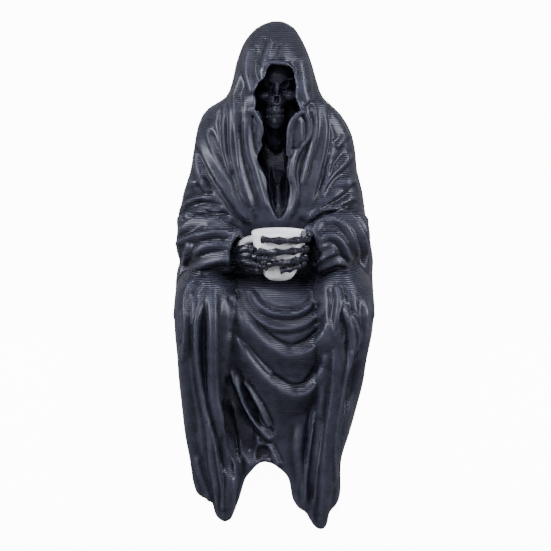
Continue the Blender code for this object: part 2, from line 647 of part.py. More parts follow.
def finger(name, spec, wrist, group):
    """Bony finger that hugs the cup, with thicker joints, tied to the wrist."""
    start_z, end_z, start, end, radius = spec
    points = [(*wrist, radius * 1.5)]
    joints = (0.0, 0.2, 0.42, 0.6, 0.8, 1.0)
    for i, share in enumerate(joints):
        angle = math.radians(start + (end - start) * share)
        z = start_z + (end_z - start_z) * share
        thick = radius * (1.2 if i in (0, 2, 4) else 0.9)
        away = cup_radius(z) + radius + (1.2 if i == 0 else 0.35)
        x = CUP_CENTRE[0] + away * math.sin(angle)
        y = CUP_CENTRE[1] - away * math.cos(angle)
        points.append((x, y, z, thick))
    return tube(name, points, group, 3)


def skull(group):
    """Skull that looks out of the hood; its back lies in the hood's inner wall."""
    head = join("skull", [ball(name, centre, radii, group) for name, centre, radii in SKULL_FORMS], group)
    melt(head, BONE_VOXEL, 2)
    for centre, radii in SKULL_HOLLOWS:
        hollow = ball("hollow", centre, radii, group)
        apply_boolean(head, hollow, "DIFFERENCE")
        bpy.data.objects.remove(hollow, do_unlink=True)
    reduce_to(head, SKULL_TRIANGLES)
    return head


def robed_figure(group):
    bell = skin("bell", [oval_ring(section) for section in BELL], group)
    lap = skin("lap", [oval_ring(section) for section in LAP], group)
    body = join("robed_figure", [
        bell,
        lap,
        sleeve("left_sleeve", LEFT_SLEEVE, group),
        sleeve("right_sleeve", RIGHT_SLEEVE, group),
        skin("left_knee", [oval_ring(section) for section in LEFT_KNEE], group),
        skin("right_knee", [oval_ring(section) for section in RIGHT_KNEE], group),
        tube("left_shin", LEFT_SHIN, group),
        tube("right_shin", RIGHT_SHIN, group),
        hanging_cloth(group),
    ], group)
    melt(body, ROBE_VOXEL, 6)
    carve(body)
    for cutter in (
        opening_cutter(group),
        cuff_cutter("left_cuff", LEFT_SLEEVE, group),
        cuff_cutter("right_cuff", RIGHT_SLEEVE, group),
    ):
        apply_boolean(body, cutter, "DIFFERENCE")
        bpy.data.objects.remove(cutter, do_unlink=True)
    parts = [body, tube("left_curl", LEFT_CURL, group, 2), tube("right_curl", RIGHT_CURL, group, 2)]
    parts += [ball(name, centre, radii, group) for name, centre, radii in LOBES]
    body = fuse("robed_figure", parts, ROBE_VOXEL * 0.8, 1, ROBE_TRIANGLES, group)
    head = skull(group)
    hands = fuse("hands", [
        *(finger("finger", spec, LEFT_WRIST, group) for spec in LEFT_FINGERS),
        *(finger("finger", spec, RIGHT_WRIST, group) for spec in RIGHT_FINGERS),
        *(ball(name, centre, radii, group) for name, centre, radii in PALMS),
    ], BONE_VOXEL, 1, HANDS_TRIANGLES, group)
    for piece in (head, hands):
        apply_boolean(body, piece, "UNION")
        bpy.data.objects.remove(piece, do_unlink=True)
    return body


def turned(name, profile, group):
    """Solid of revolution about the cup's axis; the profile runs from axis to axis."""
    bm = bmesh.new()
    verts = [bm.verts.new((r * MM, 0.0, h * MM)) for r, h in profile]
    for pair in zip(verts, verts[1:]):
        bm.edges.new(pair)
    mesh = bpy.data.meshes.new(name)
    bm.to_mesh(mesh)
    bm.free()
    item = add_object(name, mesh, group)
    screw = item.modifiers.new("turn", "SCREW")
    screw.steps = CUP_SEGMENTS
    screw.render_steps = CUP_SEGMENTS
    screw.use_merge_vertices = True
    screw.merge_threshold = 0.00001
    screw.use_normal_calculate = True
    screw.use_normal_flip = True
    item.data = evaluated_mesh(item)
    item.modifiers.clear()
    item.data.transform(Matrix.Translation(Vector((*CUP_CENTRE, CUP_BASE_Z)) * MM))
    return item


def cup_handle(name, group, extra=0.0):
    """C-shaped rod whose ends lie in the cup's wall."""
    top = CUP_BASE_Z + HANDLE_TOP * CUP_HEIGHT
    low = CUP_BASE_Z + HANDLE_LOW * CUP_HEIGHT
    rod = HANDLE_RADIUS + extra
    rise = top - low
    points = (
        (cup_radius(top) - 2.0 * CUP_WALL, top),
        (cup_radius(top) + 0.25 * HANDLE_REACH, top + 0.04 * rise),
        (cup_radius(top) + HANDLE_REACH, top - 0.3 * rise),
        (cup_radius(top) + 0.8 * HANDLE_REACH, low + 0.2 * rise),
        (cup_radius(low) - 2.0 * CUP_WALL, low - 0.06 * rise),
    )
    y = CUP_CENTRE[1] + HANDLE_BACK
    return tube(name, [(CUP_CENTRE[0] - reach, y, z, rod) for reach, z in points], group, 2)


def cup(group):
    outer = cup_profile()
    floor = CUP_FLOOR * 1.1
    inner = [(cup_radius(CUP_BASE_Z + floor) - 1.5 * CUP_WALL, floor)]
    inner += [(r - CUP_WALL, h) for r, h in outer if h > 2.0 * CUP_FLOOR]
    middle = (0.0, CUP_FLOOR)
    item = turned("cup", [(0.0, 0.0), *outer, *reversed(inner), middle], group)
    inside = turned("inside", [middle, *inner, (0.0, inner[-1][1])], group)
    rod = cup_handle("rod", group)
    handle = add_object("handle", evaluated_mesh(rod), group)
    apply_boolean(handle, inside, "DIFFERENCE")
    apply_boolean(item, handle, "UNION")
    for extra in (rod, handle, inside):
        bpy.data.objects.remove(extra, do_unlink=True)
    return item


def material(name, colour, roughness, metallic=0.0):
    item = bpy.data.materials.new(name)
    item.use_nodes = True
    shader = item.node_tree.nodes["Principled BSDF"]
    shader.inputs["Base Color"].default_value = (*colour, 1.0)
    shader.inputs["Roughness"].default_value = roughness
    shader.inputs["Metallic"].default_value = metallic
    return item


def cut_later(item, cutter):
    modifier = item.modifiers.new(cutter.name, "BOOLEAN")
    modifier.operation = "DIFFERENCE"
    modifier.solver = "EXACT"
    modifier.object = cutter


def box(name, low, high, group):
    bm = bmesh.new()
    bmesh.ops.create_cube(bm, size=1.0)
    for vert in bm.verts:
        vert.co = Vector([((a + b) / 2.0 + v * (b - a)) * MM for a, b, v in zip(low, high, vert.co)])
    mesh = bpy.data.meshes.new(name)
    bm.to_mesh(mesh)
    bm.free()
    return add_object(name, mesh, group)


def main():
    remove_everything()
    group = new_collection("grim_reaper_figurine")
    cutters = new_collection("cutters")
    figure = robed_figure(group)
    vessel = cup(group)

    widths = [x for section in (*BELL, *LEFT_KNEE, *RIGHT_KNEE) for x in section[1:3]]
    depths = [section[5] for section in BELL]
    lowest = min(z for _, z in DRAPE_HEM)
    shelf = box("shelf_cutter", (2.0 * min(widths), SHELF_FRONT_Y, 2.0 * lowest),
                (2.0 * max(widths), 2.0 * max(depths), 0.0), cutters)
    cut_later(figure, shelf)

    top = CUP_HEIGHT + 3.0 * CUP_WALL
    outer = [(r + CUP_CLEARANCE, h) for r, h in cup_profile()]
    room = turned("cup_cutter", [(0.0, -CUP_CLEARANCE), (outer[0][0], -CUP_CLEARANCE), *outer[1:],
                                 (outer[-1][0], top), (0.0, top)], cutters)
    loop = cup_handle("handle_room", cutters, CUP_CLEARANCE)
    loop_mesh = add_object("handle_cutter", evaluated_mesh(loop), cutters)
    bpy.data.objects.remove(loop, do_unlink=True)
    cut_later(figure, room)
    cut_later(figure, loop_mesh)
    for cutter in cutters.objects:
        cutter.hide_render = True
        cutter.display_type = "WIRE"

    figure.data.materials.clear()
    figure.data.materials.append(material("black_print", (0.012, 0.012, 0.016), 0.42))
    vessel.data.materials.clear()
    vessel.data.materials.append(material("white_print", (0.82, 0.82, 0.80), 0.5))


main()
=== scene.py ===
"""Looks of the seated hooded skeleton with a coffee cup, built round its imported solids.

The origin lies on the seat, at the front edge of the shelf and half way across the figure.
X is the width, -Y the front and Z up. Tables are in millimetres.
"""

import math

import bmesh
import bpy
import numpy as np
from mathutils import Matrix, Vector


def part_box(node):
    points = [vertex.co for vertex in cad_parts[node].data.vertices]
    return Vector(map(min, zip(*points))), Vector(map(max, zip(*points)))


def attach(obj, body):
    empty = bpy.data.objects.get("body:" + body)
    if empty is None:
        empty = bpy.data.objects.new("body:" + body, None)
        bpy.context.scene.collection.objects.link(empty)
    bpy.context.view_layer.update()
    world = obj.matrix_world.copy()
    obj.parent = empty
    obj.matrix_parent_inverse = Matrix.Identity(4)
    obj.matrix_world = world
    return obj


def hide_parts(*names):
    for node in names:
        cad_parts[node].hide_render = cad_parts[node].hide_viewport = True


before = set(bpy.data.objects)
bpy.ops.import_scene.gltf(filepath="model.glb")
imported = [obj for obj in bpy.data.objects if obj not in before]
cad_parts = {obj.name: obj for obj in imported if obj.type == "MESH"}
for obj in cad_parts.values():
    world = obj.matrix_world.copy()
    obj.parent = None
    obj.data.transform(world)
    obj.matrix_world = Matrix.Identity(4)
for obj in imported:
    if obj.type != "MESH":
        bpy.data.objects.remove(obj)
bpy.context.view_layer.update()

MM = 0.001

SHELF_FRONT_Y = -1.0

# fineness of the carved surface, the triangles kept on the robe, and rounds of smoothing
ROBE_VOXEL = 0.42
SEAM_VOXEL = ROBE_VOXEL * 0.9
BONE_VOXEL = 0.2
ROBE_TRIANGLES = 190000
ROBE_SMOOTHING = 40
FINISH_SMOOTHING = 4
SKULL_SMOOTHING = 10
BELL_SEGMENTS = 96
KNEE_SEGMENTS = 64

# what lies this near to a face of the shelf is pressed onto it
PRESS_BAND = 0.35
PRESS_START = 0.4

# room for the shelf: lowest and rearmost reach of the cut
SHELF_CUT_LOW_Z = -120.0
SHELF_CUT_BACK_Y = 90.0

# the carving is laid out in a front view seen from slightly above
VIEW_TILT = math.radians(9.0)
VIEW_DISTANCE = 620.0
VIEW_CENTRE = (0.0, 5.0, 26.0)
FIELD_OF_VIEW = math.radians(20.0)
SENSOR_WIDTH = 36.0
CLIP_RANGE = (0.01, 20.0)

# cup; its profile is given as shares of the top radius and of the height
CUP_CENTRE = (1.4, -10.0)
CUP_BASE_Z = 26.8
CUP_HEIGHT = 19.0
CUP_TOP_RADIUS = 10.7
CUP_WALL = 1.3
CUP_FLOOR = 1.6
CUP_PROFILE = (
    (0.31, 0.0), (0.42, 0.03), (0.55, 0.1), (0.68, 0.24), (0.81, 0.44), (0.91, 0.69), (1.0, 1.0),
)

# handle of the cup: thickness, reach from the axis, and its two ends as shares of the height
HANDLE_RADIUS = 1.5
HANDLE_REACH = 5.4
HANDLE_BACK = 5.0
HANDLE_TOP = 0.77
HANDLE_LOW = 0.33

# rounding of the cup's rim
RIM_ROUNDING = 0.3
RIM_DROP = 0.5
RIM_LEAN = 0.05
TURNED_SEGMENTS = 128
MERGE_DISTANCE = 0.00001

# hood, torso and seat: height, left, right, front, widest, back, squareness
BELL = (
    (0.0, -40.6, 38.3, -6.0, 24.0, 56.0, 2.9),
    (5.0, -40.8, 40.2, -9.0, 24.0, 56.0, 2.7),
    (14.0, -41.0, 39.8, -9.0, 24.0, 55.5, 2.5),
    (23.0, -41.0, 39.2, 2.0, 24.0, 55.0, 2.4),
    (28.5, -39.4, 39.6, 4.0, 24.0, 54.5, 2.4),
    (34.7, -40.6, 38.7, 4.0, 24.0, 54.0, 2.4),
    (40.0, -38.4, 37.6, 4.0, 24.0, 53.5, 2.3),
    (48.4, -39.2, 36.2, 2.5, 24.0, 53.0, 2.3),
    (56.6, -37.6, 35.2, 2.0, 24.0, 52.5, 2.3),
    (66.0, -34.6, 32.8, 2.0, 24.0, 51.5, 2.3),
    (74.0, -33.3, 32.2, 2.0, 24.0, 50.5, 2.2),
    (80.0, -32.3, 31.0, 1.5, 24.0, 49.5, 2.2),
    (84.5, -31.2, 29.0, 0.8, 24.0, 49.0, 2.1),
    (88.5, -29.4, 26.4, 0.0, 24.0, 48.5, 2.0),
    (91.4, -26.8, 23.6, -0.6, 23.5, 48.0, 2.0),
    (93.5, -23.2, 21.2, -0.8, 23.0, 47.5, 2.0),
    (95.6, -20.0, 19.0, -1.0, 22.5, 47.0, 2.0),
    (98.6, -18.3, 17.6, -1.0, 22.0, 46.5, 2.0),
    (104.0, -16.8, 16.0, -0.6, 22.0, 46.0, 2.0),
    (108.6, -15.9, 14.7, 0.6, 22.5, 44.5, 2.0),
    (112.7, -14.6, 13.3, 3.2, 23.0, 43.0, 2.0),
    (116.8, -13.0, 11.5, 7.5, 24.0, 41.0, 2.0),
    (120.0, -10.8, 9.7, 12.0, 25.0, 38.5, 2.0),
    (122.9, -8.0, 7.9, 17.0, 26.5, 35.5, 2.0),
    (124.7, -4.8, 5.2, 20.5, 27.5, 33.0, 2.0),
    (125.8, -1.4, 2.6, 24.0, 27.5, 30.0, 2.0),
)

# sleeves: x, y, z, half height, half width
LEFT_SLEEVE = (
    (-20.0, 24.0, 84.0, 7.0, 7.0),
    (-24.0, 20.0, 74.0, 8.0, 8.0),
    (-27.0, 15.5, 60.0, 9.0, 9.0),
    (-30.0, 11.5, 46.0, 10.5, 9.6),
    (-30.4, 4.5, 39.5, 12.2, 9.5),
    (-24.0, -5.0, 39.5, 11.0, 9.0),
    (-15.2, -8.8, 37.6, 8.6, 7.6),
)
RIGHT_SLEEVE = (
    (19.0, 24.0, 84.0, 7.0, 7.0),
    (22.5, 20.0, 74.0, 8.0, 8.0),
    (24.5, 15.5, 60.0, 9.0, 9.0),
    (27.6, 11.5, 46.0, 10.5, 9.6),
    (28.5, 5.0, 41.5, 11.5, 9.5),
    (22.5, -5.0, 41.0, 11.0, 9.0),
    (13.9, -8.8, 38.8, 9.2, 7.6),
)

# knees and thighs under the robe: height, left, right, front, widest, back, squareness
LEFT_KNEE = (
    (-48.0, -32.6, -22.0, -7.6, -5.0, -1.0, 2.0),
    (-38.0, -34.8, -21.0, -10.2, -6.0, -1.0, 2.1),
    (-26.0, -36.5, -20.0, -13.0, -6.0, -1.0, 2.2),
    (-10.0, -38.2, -17.0, -16.0, -5.0, 2.0, 2.3),
    (4.0, -39.8, -14.5, -18.6, 0.0, 20.0, 2.4),
    (14.0, -40.4, -13.5, -19.4, 4.0, 30.0, 2.3),
    (20.0, -39.8, -13.5, -18.2, 5.0, 32.0, 2.2),
    (24.5, -38.0, -14.5, -15.6, 5.0, 32.0, 2.1),
    (28.0, -35.0, -17.0, -11.4, 6.0, 30.0, 2.0),
    (31.0, -30.0, -21.0, -5.0, 6.0, 26.0, 2.0),
)
RIGHT_KNEE = (
    (-48.0, 17.5, 25.4, -7.6, -5.0, -1.0, 2.0),
    (-38.0, 18.0, 28.2, -10.2, -6.0, -1.0, 2.1),
    (-26.0, 18.0, 31.0, -13.0, -6.0, -1.0, 2.2),
    (-10.0, 15.5, 35.0, -16.0, -5.0, 2.0, 2.3),
    (4.0, 13.5, 38.2, -18.6, 0.0, 20.0, 2.4),
    (14.0, 13.0, 39.4, -19.4, 4.0, 30.0, 2.3),
    (20.5, 12.5, 38.8, -18.2, 5.0, 32.0, 2.2),
    (25.0, 13.0, 37.0, -15.6, 5.0, 32.0, 2.1),
    (29.0, 15.0, 34.0, -11.4, 6.0, 30.0, 2.0),
    (32.0, 20.0, 29.5, -5.0, 6.0, 26.0, 2.0),
)

# shins under the hanging cloth: x, y, z, radius
LEFT_SHIN = (
    (-27.5, -8.0, 0.0, 8.5),
    (-25.5, -8.0, -30.0, 6.8),
    (-22.2, -7.5, -54.0, 5.0),
    (-20.8, -6.5, -65.0, 3.2),
)
RIGHT_SHIN = (
    (26.0, -8.0, 0.0, 8.5),
    (23.0, -8.0, -30.0, 6.8),
    (18.5, -7.5, -54.0, 5.0),
    (17.6, -6.5, -67.0, 3.2),
)

# cloth between the knees: height, left, right, front, widest, back, squareness
LAP = (
    (-34.0, -16.0, 16.0, -8.0, -3.0, 1.0, 2.0),
    (-20.0, -22.0, 22.0, -11.5, -3.0, 1.0, 2.2),
    (-4.0, -26.0, 26.0, -14.0, 0.0, 12.0, 2.6),
    (8.0, -27.0, 27.0, -15.2, 2.0, 20.0, 2.6),
    (15.0, -26.0, 26.0, -13.8, 4.0, 20.0, 2.6),
    (20.0, -25.0, 25.0, -11.0, 5.0, 20.0, 2.4),
    (23.5, -24.0, 24.0, -6.5, 6.0, 20.0, 2.2),
    (26.0, -22.0, 22.0, 0.5, 6.0, 18.0, 2.0),
)

# cloth in front of the shelf: height, left edge, right edge;
# then its lower edge, x, z from left to right, and its front edge, y and inset
DRAPE_SIDES = (
    (16.0, -37.0, 36.0),
    (8.0, -39.2, 37.8),
    (0.0, -38.9, 35.7),
    (-12.0, -38.4, 35.2),
    (-24.0, -37.2, 32.4),
    (-36.0, -36.0, 29.2),
    (-46.0, -34.2, 26.2),
    (-54.0, -33.2, 26.0),
)
DRAPE_HEM = (
    (-32.4, -57.5), (-31.2, -60.5), (-28.4, -62.4), (-25.9, -62.9), (-25.0, -65.4), (-24.0, -69.4),
    (-21.0, -71.8), (-17.8, -70.8), (-15.9, -66.5), (-14.0, -61.4), (-12.2, -54.8), (-10.2, -52.0),
    (-7.1, -48.3), (-3.9, -47.4),
    (-1.2, -48.2), (2.0, -50.4), (4.7, -53.2), (5.8, -57.1), (6.7, -62.6), (9.6, -66.8), (11.7, -67.6),
    (13.5, -70.9), (15.9, -74.4), (18.6, -75.1), (20.6, -73.0), (21.0, -67.8), (21.6, -66.4), (24.2, -64.5),
    (25.9, -61.0),
)
DRAPE_ROUNDING = ((-1.2, 0.0), (-6.5, 0.0), (-7.8, 0.5), (-8.5, 1.5))

# opening of the hood and of the neck below it: rims as x, z from the top down,
# how deep it goes at a height, and how it narrows with the share of that depth
OPENING_LEFT = (
    (-1.3, 108.8), (-3.2, 107.2), (-4.1, 104.3), (-6.0, 102.2), (-7.3, 100.3), (-8.6, 97.9), (-7.6, 95.5),
    (-7.8, 92.6), (-9.1, 89.4), (-8.5, 85.8), (-6.4, 81.9), (-5.1, 77.6), (-6.7, 74.5), (-6.8, 71.4),
    (-5.4, 68.7), (-3.4, 64.2), (-3.1, 59.7), (-2.0, 55.2), (-0.4, 51.4), (1.0, 49.6),
)
OPENING_RIGHT = (
    (4.6, 108.3), (6.7, 106.3), (7.2, 103.6), (7.9, 100.3), (7.6, 96.2), (9.1, 92.6), (9.9, 89.5),
    (11.0, 85.0), (10.8, 80.8), (8.4, 77.8), (5.8, 75.3), (4.7, 70.9), (4.3, 66.4), (5.4, 62.7),
    (5.3, 58.2), (4.3, 53.7), (2.8, 50.4),
)
OPENING_DEPTHS = (
    (50.0, 7.0), (53.0, 11.0), (60.0, 15.5), (76.0, 18.0), (86.0, 17.0), (100.0, 15.5), (110.0, 14.5),
)
OPENING_SHARES = ((0.0, 1.0), (0.4, 1.03), (0.75, 0.98), (0.95, 0.86), (1.0, 0.62))
OPENING_FRONT_Y = -14.0

# turned edges of cloth inside the opening: x, y, z, radius
LEFT_CURL = (
    (-9.2, 0.6, 92.0, 1.0), (-6.9, 1.0, 88.6, 1.0), (-5.7, 1.4, 85.4, 1.1), (-5.8, 1.8, 82.0, 1.0),
    (-6.4, 2.2, 79.4, 0.8),
)
RIGHT_CURL = (
    (11.0, 1.2, 91.4, 1.0), (7.6, 1.0, 88.8, 1.1), (5.8, 1.4, 85.4, 1.2), (5.3, 1.8, 81.4, 1.2),
    (5.3, 2.6, 77.6, 1.2), (5.4, 3.4, 73.6, 1.2),
)

# lobes of cloth that fill the turned edges: name, centre, half sizes
LOBES = (
    ("left_lobe", (-7.2, 2.6, 86.4), (1.9, 1.4, 5.0)),
    ("right_lobe", (8.3, 2.8, 83.4), (2.8, 1.4, 7.2)),
)

# folds in the front view: points, height, half width, side that drops away, bluntness
FOLD_LINES = (
    # hood
    (((-1.2, 93.9), (-2.2, 90.9), (-3.5, 86.6), (-4.6, 81.9)), 1.08, 1.4, 0, 1.6),
    (((-4.4, 82.3), (-2.4, 84.5), (1.2, 84.5), (5.4, 83.2), (8.3, 79.8)), 0.84, 0.8, 0, 1.6),
    (((-9.3, 92.2), (-11.2, 85.7), (-11.2, 79.6), (-9.7, 75.3), (-8.9, 71.4)), 1.44, 1.5, 0, 2.5),
    (((-12.7, 83.8), (-14.7, 77.2), (-15.7, 69.7), (-15.5, 60.3), (-14.7, 50.0), (-13.6, 40.6),
      (-10.8, 31.2), (-8.2, 24.2)), 1.68, 1.0, 0, 1.5),
    (((-16.2, 76.3), (-17.5, 68.8), (-17.6, 59.4), (-17.3, 50.0), (-15.5, 40.6), (-12.7, 31.2),
      (-9.7, 23.7)), 1.56, 1.0, -1, 1.5),
    (((-18.9, 69.7), (-20.0, 63.1), (-20.1, 55.6), (-19.2, 47.2), (-16.8, 38.8)), 1.44, 1.0, 0, 1.5),
    (((-11.4, 63.1), (-11.7, 56.6), (-10.8, 49.1), (-8.4, 41.6), (-5.9, 33.1),
      (-3.9, 25.6)), 1.2, 1.5, 0, 2.5),
    (((10.6, 87.5), (11.7, 81.0), (12.3, 73.5), (14.0, 67.8)), 1.32, 2.4, 0, 3.0),
    (((16.6, 78.2), (18.1, 70.6), (19.2, 63.1), (19.7, 56.6), (18.6, 48.1), (16.4, 39.7), (14.3, 30.3),
      (12.5, 22.3)), 1.68, 1.0, 1, 1.5),
    (((14.3, 70.6), (15.5, 63.1), (15.8, 57.5), (14.3, 50.0), (12.1, 42.5), (10.6, 34.1)), 1.56, 1.0, 0, 1.5),
    (((9.5, 71.6), (10.8, 66.0), (13.2, 60.3), (13.0, 54.7), (10.0, 50.5), (7.8, 46.3), (7.0, 39.7),
      (8.0, 33.6), (6.8, 26.6), (4.0, 22.1)), 1.08, 0.9, 0, 1.5),
    (((19.0, 48.1), (17.3, 40.6), (15.7, 33.1), (14.3, 25.6)), 1.2, 1.0, 0, 1.6),
    # left shoulder
    (((-30.7, 59.4), (-29.6, 52.8), (-26.5, 45.3), (-22.3, 37.8), (-17.6, 30.8), (-13.3, 24.7),
      (-10.2, 20.2)), 2.04, 1.2, -1, 1.6),
    (((-27.3, 59.4), (-24.9, 50.9), (-21.1, 42.5), (-17.2, 35.0), (-13.3, 28.0)), 1.56, 1.2, 0, 1.6),
    (((-31.6, 50.0), (-30.9, 43.4), (-28.8, 36.9), (-26.0, 32.2)), 1.44, 1.3, 0, 1.8),
    (((-23.2, 48.1), (-19.8, 40.6), (-15.9, 33.1), (-12.3, 25.6), (-8.9, 20.2)), 1.32, 1.1, 0, 1.6),
    # right shoulder
    (((22.6, 66.0), (25.8, 60.3), (28.4, 54.7)), 0.96, 1.4, 0, 2.0),
    (((27.7, 56.6), (26.3, 53.3), (23.7, 50.8)), 0.96, 1.0, 0, 1.6),
    (((29.9, 49.1), (26.7, 44.4), (22.6, 40.2), (19.0, 35.0), (17.0, 29.4)), 1.68, 1.2, 0, 1.6),
    (((31.0, 40.6), (27.5, 35.0), (22.6, 31.1), (18.1, 28.0), (14.3, 23.9), (11.7, 20.9)), 1.92, 1.2, 1, 1.6),
    (((31.4, 31.7), (27.1, 28.9), (21.8, 27.1)), 1.2, 1.1, 0, 1.6),
    (((22.0, 48.1), (20.5, 40.6), (18.8, 33.1), (16.4, 26.6)), 1.32, 1.2, 0, 1.8),
    # left sleeve
    (((-38.9, 19.8), (-37.8, 25.1), (-34.1, 29.0), (-29.2, 30.9), (-24.5, 30.1)), 1.56, 1.1, 0, 1.6),
    (((-38.6, 16.2), (-34.3, 20.4), (-29.0, 22.6), (-23.2, 22.6), (-18.3, 20.7)), 1.8, 1.2, 0, 1.7),
    (((-37.1, 22.8), (-32.6, 25.6), (-26.9, 26.6), (-21.3, 24.9)), 1.08, 1.1, 0, 1.6),
    (((-40.1, 11.7), (-35.4, 14.4), (-29.2, 16.1), (-23.2, 17.0), (-17.2, 16.6)), 1.8, 1.2, 0, 1.7),
    (((-34.6, 13.8), (-35.4, 8.7), (-36.7, 3.1), (-38.4, -2.1)), 1.32, 1.0, 0, 1.6),
    (((-35.2, 0.9), (-29.8, 4.0), (-24.1, 5.9), (-17.6, 6.7)), 1.44, 1.6, 0, 2.0),
    (((-33.5, 8.7), (-27.9, 11.5), (-22.3, 12.5)), 0.84, 1.5, 0, 2.0),
    # right sleeve
    (((11.7, 18.9), (15.3, 24.2), (20.5, 26.6), (26.0, 25.8), (30.5, 22.4), (33.7, 17.0), (35.7, 9.9),
      (36.7, 1.2)), 2.04, 1.2, 0, 1.6),
    (((14.3, 18.1), (19.0, 22.1), (24.7, 21.7), (29.0, 18.1), (31.8, 12.5), (33.3, 5.9)), 1.44, 1.1, 0, 1.6),
    (((17.0, 13.4), (20.9, 15.8), (25.2, 14.5), (28.0, 10.6), (29.9, 4.0)), 1.08, 1.3, 0, 2.0),
    (((15.1, 3.5), (19.0, 7.2), (23.9, 10.0)), 1.2, 1.1, 0, 1.6),
    (((15.5, 0.7), (20.0, 3.9), (26.0, 5.2), (30.3, 2.2)), 1.2, 1.1, 0, 1.6),
    # lap
    (((-10.2, -5.7), (-6.7, -11.5), (-1.2, -14.9), (5.9, -15.5), (11.7, -13.6),
      (16.4, -9.1)), 1.44, 1.1, 0, 1.6),
    (((-14.7, -6.8), (-11.4, -12.8), (-6.3, -17.9), (-0.3, -20.7), (6.8, -20.9), (14.3, -17.7),
      (19.0, -12.8)), 0.84, 1.1, 0, 1.6),
    (((-17.9, -8.3), (-13.8, -14.3), (-10.1, -19.4), (-5.9, -24.5), (-1.1, -28.4), (4.0, -30.7),
      (8.7, -30.7), (13.4, -29.0), (17.5, -25.6), (20.2, -21.3), (21.3, -15.3)), 2.4, 1.4, 1, 1.6),
    (((-17.6, -21.3), (-13.8, -27.1), (-9.1, -34.0), (-4.8, -39.1), (-0.3, -43.2), (5.0, -46.1),
      (9.6, -46.6), (13.6, -44.9), (16.6, -41.2), (18.5, -37.2), (19.2, -32.7)), 2.28, 1.3, 1, 1.6),
    (((-13.4, -24.7), (-8.9, -30.9), (-4.8, -36.1), (-0.9, -40.0)), 1.08, 0.9, 0, 1.5),
    (((-18.3, -36.9), (-15.3, -42.9), (-12.3, -50.4), (-8.6, -57.3),
      (-3.5, -63.5), (-0.9, -65.0)), 2.16, 1.2, 0, 1.6),
    (((-13.2, -41.2), (-9.1, -47.7), (-5.4, -54.1), (-2.4, -61.2)), 1.44, 0.9, 0, 1.5),
    (((-2.4, -67.3), (-0.3, -71.8), (1.2, -75.3)), 1.2, 0.9, 0, 1.5),
    (((-17.6, -7.2), (-14.6, -11.9), (-11.9, -15.7)), 1.08, 1.0, 0, 1.5),
    # left leg
    (((-29.6, -0.5), (-33.7, -4.6), (-35.4, -10.0), (-35.2, -20.3),
      (-35.8, -28.8), (-36.5, -35.4)), 1.8, 1.1, 0, 1.5),
    (((-29.2, -10.0), (-31.3, -17.5), (-31.4, -27.9), (-30.3, -39.1), (-28.3, -51.3), (-26.2, -62.6),
      (-25.4, -73.8), (-23.6, -84.1), (-22.6, -95.4)), 1.92, 1.1, 0, 1.5),
    (((-24.9, -4.4), (-24.9, -16.6), (-25.0, -28.8), (-24.8, -40.0), (-24.1, -50.4), (-21.9, -58.8),
      (-19.6, -66.3), (-17.7, -72.9), (-17.2, -80.4), (-18.3, -87.9), (-19.1, -99.1)), 2.64, 2.0, 0, 3.0),
    (((-27.9, -50.4), (-25.8, -59.7), (-23.9, -69.1), (-22.4, -78.5),
      (-21.1, -87.9), (-20.6, -99.1)), 1.08, 1.0, 0, 1.5),
    (((-37.8, -26.0), (-37.1, -37.2), (-35.6, -50.4), (-33.9, -63.5)), 0.96, 1.4, 0, 2.0),
    (((-31.6, -71.0), (-29.9, -78.5), (-27.3, -85.1), (-25.4, -91.6)), 0.96, 1.2, 0, 2.0),
    (((-33.5, -6.3), (-32.6, -12.8), (-33.3, -20.3)), 0.96, 0.9, 0, 1.5),
    # right leg
    (((16.6, -50.4), (15.1, -60.7), (13.6, -71.0), (12.5, -80.4), (11.7, -91.6)), 1.92, 1.1, 0, 1.5),
    (((23.5, -26.0), (23.4, -35.4), (22.8, -46.6), (21.3, -57.9), (20.0, -69.1), (19.0, -80.4),
      (18.8, -89.8), (18.5, -101.0)), 2.28, 1.2, -1, 1.6),
    (((20.5, -28.8), (20.0, -38.2), (18.5, -46.6), (16.6, -57.9)), 1.32, 1.8, 0, 2.5),
    (((27.1, -8.2), (28.0, -14.7), (30.5, -22.4), (30.1, -31.6), (27.1, -42.9), (24.8, -56.0),
      (23.3, -69.1), (23.0, -80.4), (22.6, -91.6)), 1.92, 1.1, 0, 1.5),
    (((29.3, -14.7), (31.8, -19.4), (32.9, -25.0), (31.2, -31.6)), 1.32, 1.0, 0, 1.5),
    (((23.7, -3.5), (25.2, -10.0), (24.1, -18.5), (23.5, -26.0)), 1.44, 1.3, 0, 1.8),
    (((35.7, -8.2), (36.5, -18.5), (35.5, -29.7), (34.0, -39.1), (31.8, -48.5)), 1.2, 1.2, 0, 1.8),
    (((10.2, -57.9), (9.6, -69.1), (10.6, -78.5), (11.5, -89.8)), 0.84, 1.6, 0, 2.5),
    (((25.6, -63.5), (24.7, -72.9), (24.3, -82.3), (23.9, -91.6)), 0.84, 1.0, 0, 1.6),
)

# trough beside a fold, slope of a dropping side, and how a fold dies away towards its ends
FOLD_REACH = 6.0
FOLD_VALLEY = 0.7
FOLD_SLOPE = 3.5
FOLD_FADE = 0.16
FOLD_END = 0.08

# folds show where the surface faces the front, from this slant on
FACING_START = 0.08
FACING_SPAN = 0.4

# deep hollows between folds: centre in the front view, half sizes, turn, depth
HOLLOWS = (
    ((-17.7, -62.4), (3.0, 10.6), 8.0, 3.6),
    ((-11.8, -63.2), (3.5, 9.5), 14.0, 2.8),
    ((-5.1, -71.1), (3.0, 3.3), 0.0, 2.8),
    ((-9.5, -51.4), (1.6, 8.7), 24.0, 2.6),
    ((-19.7, -70.7), (2.4, 7.9), 10.0, 2.2),
    ((30.3, -44.3), (1.2, 9.5), -16.0, 1.6),
    ((-28.0, -27.4), (1.2, 15.8), 0.0, 0.8),
)

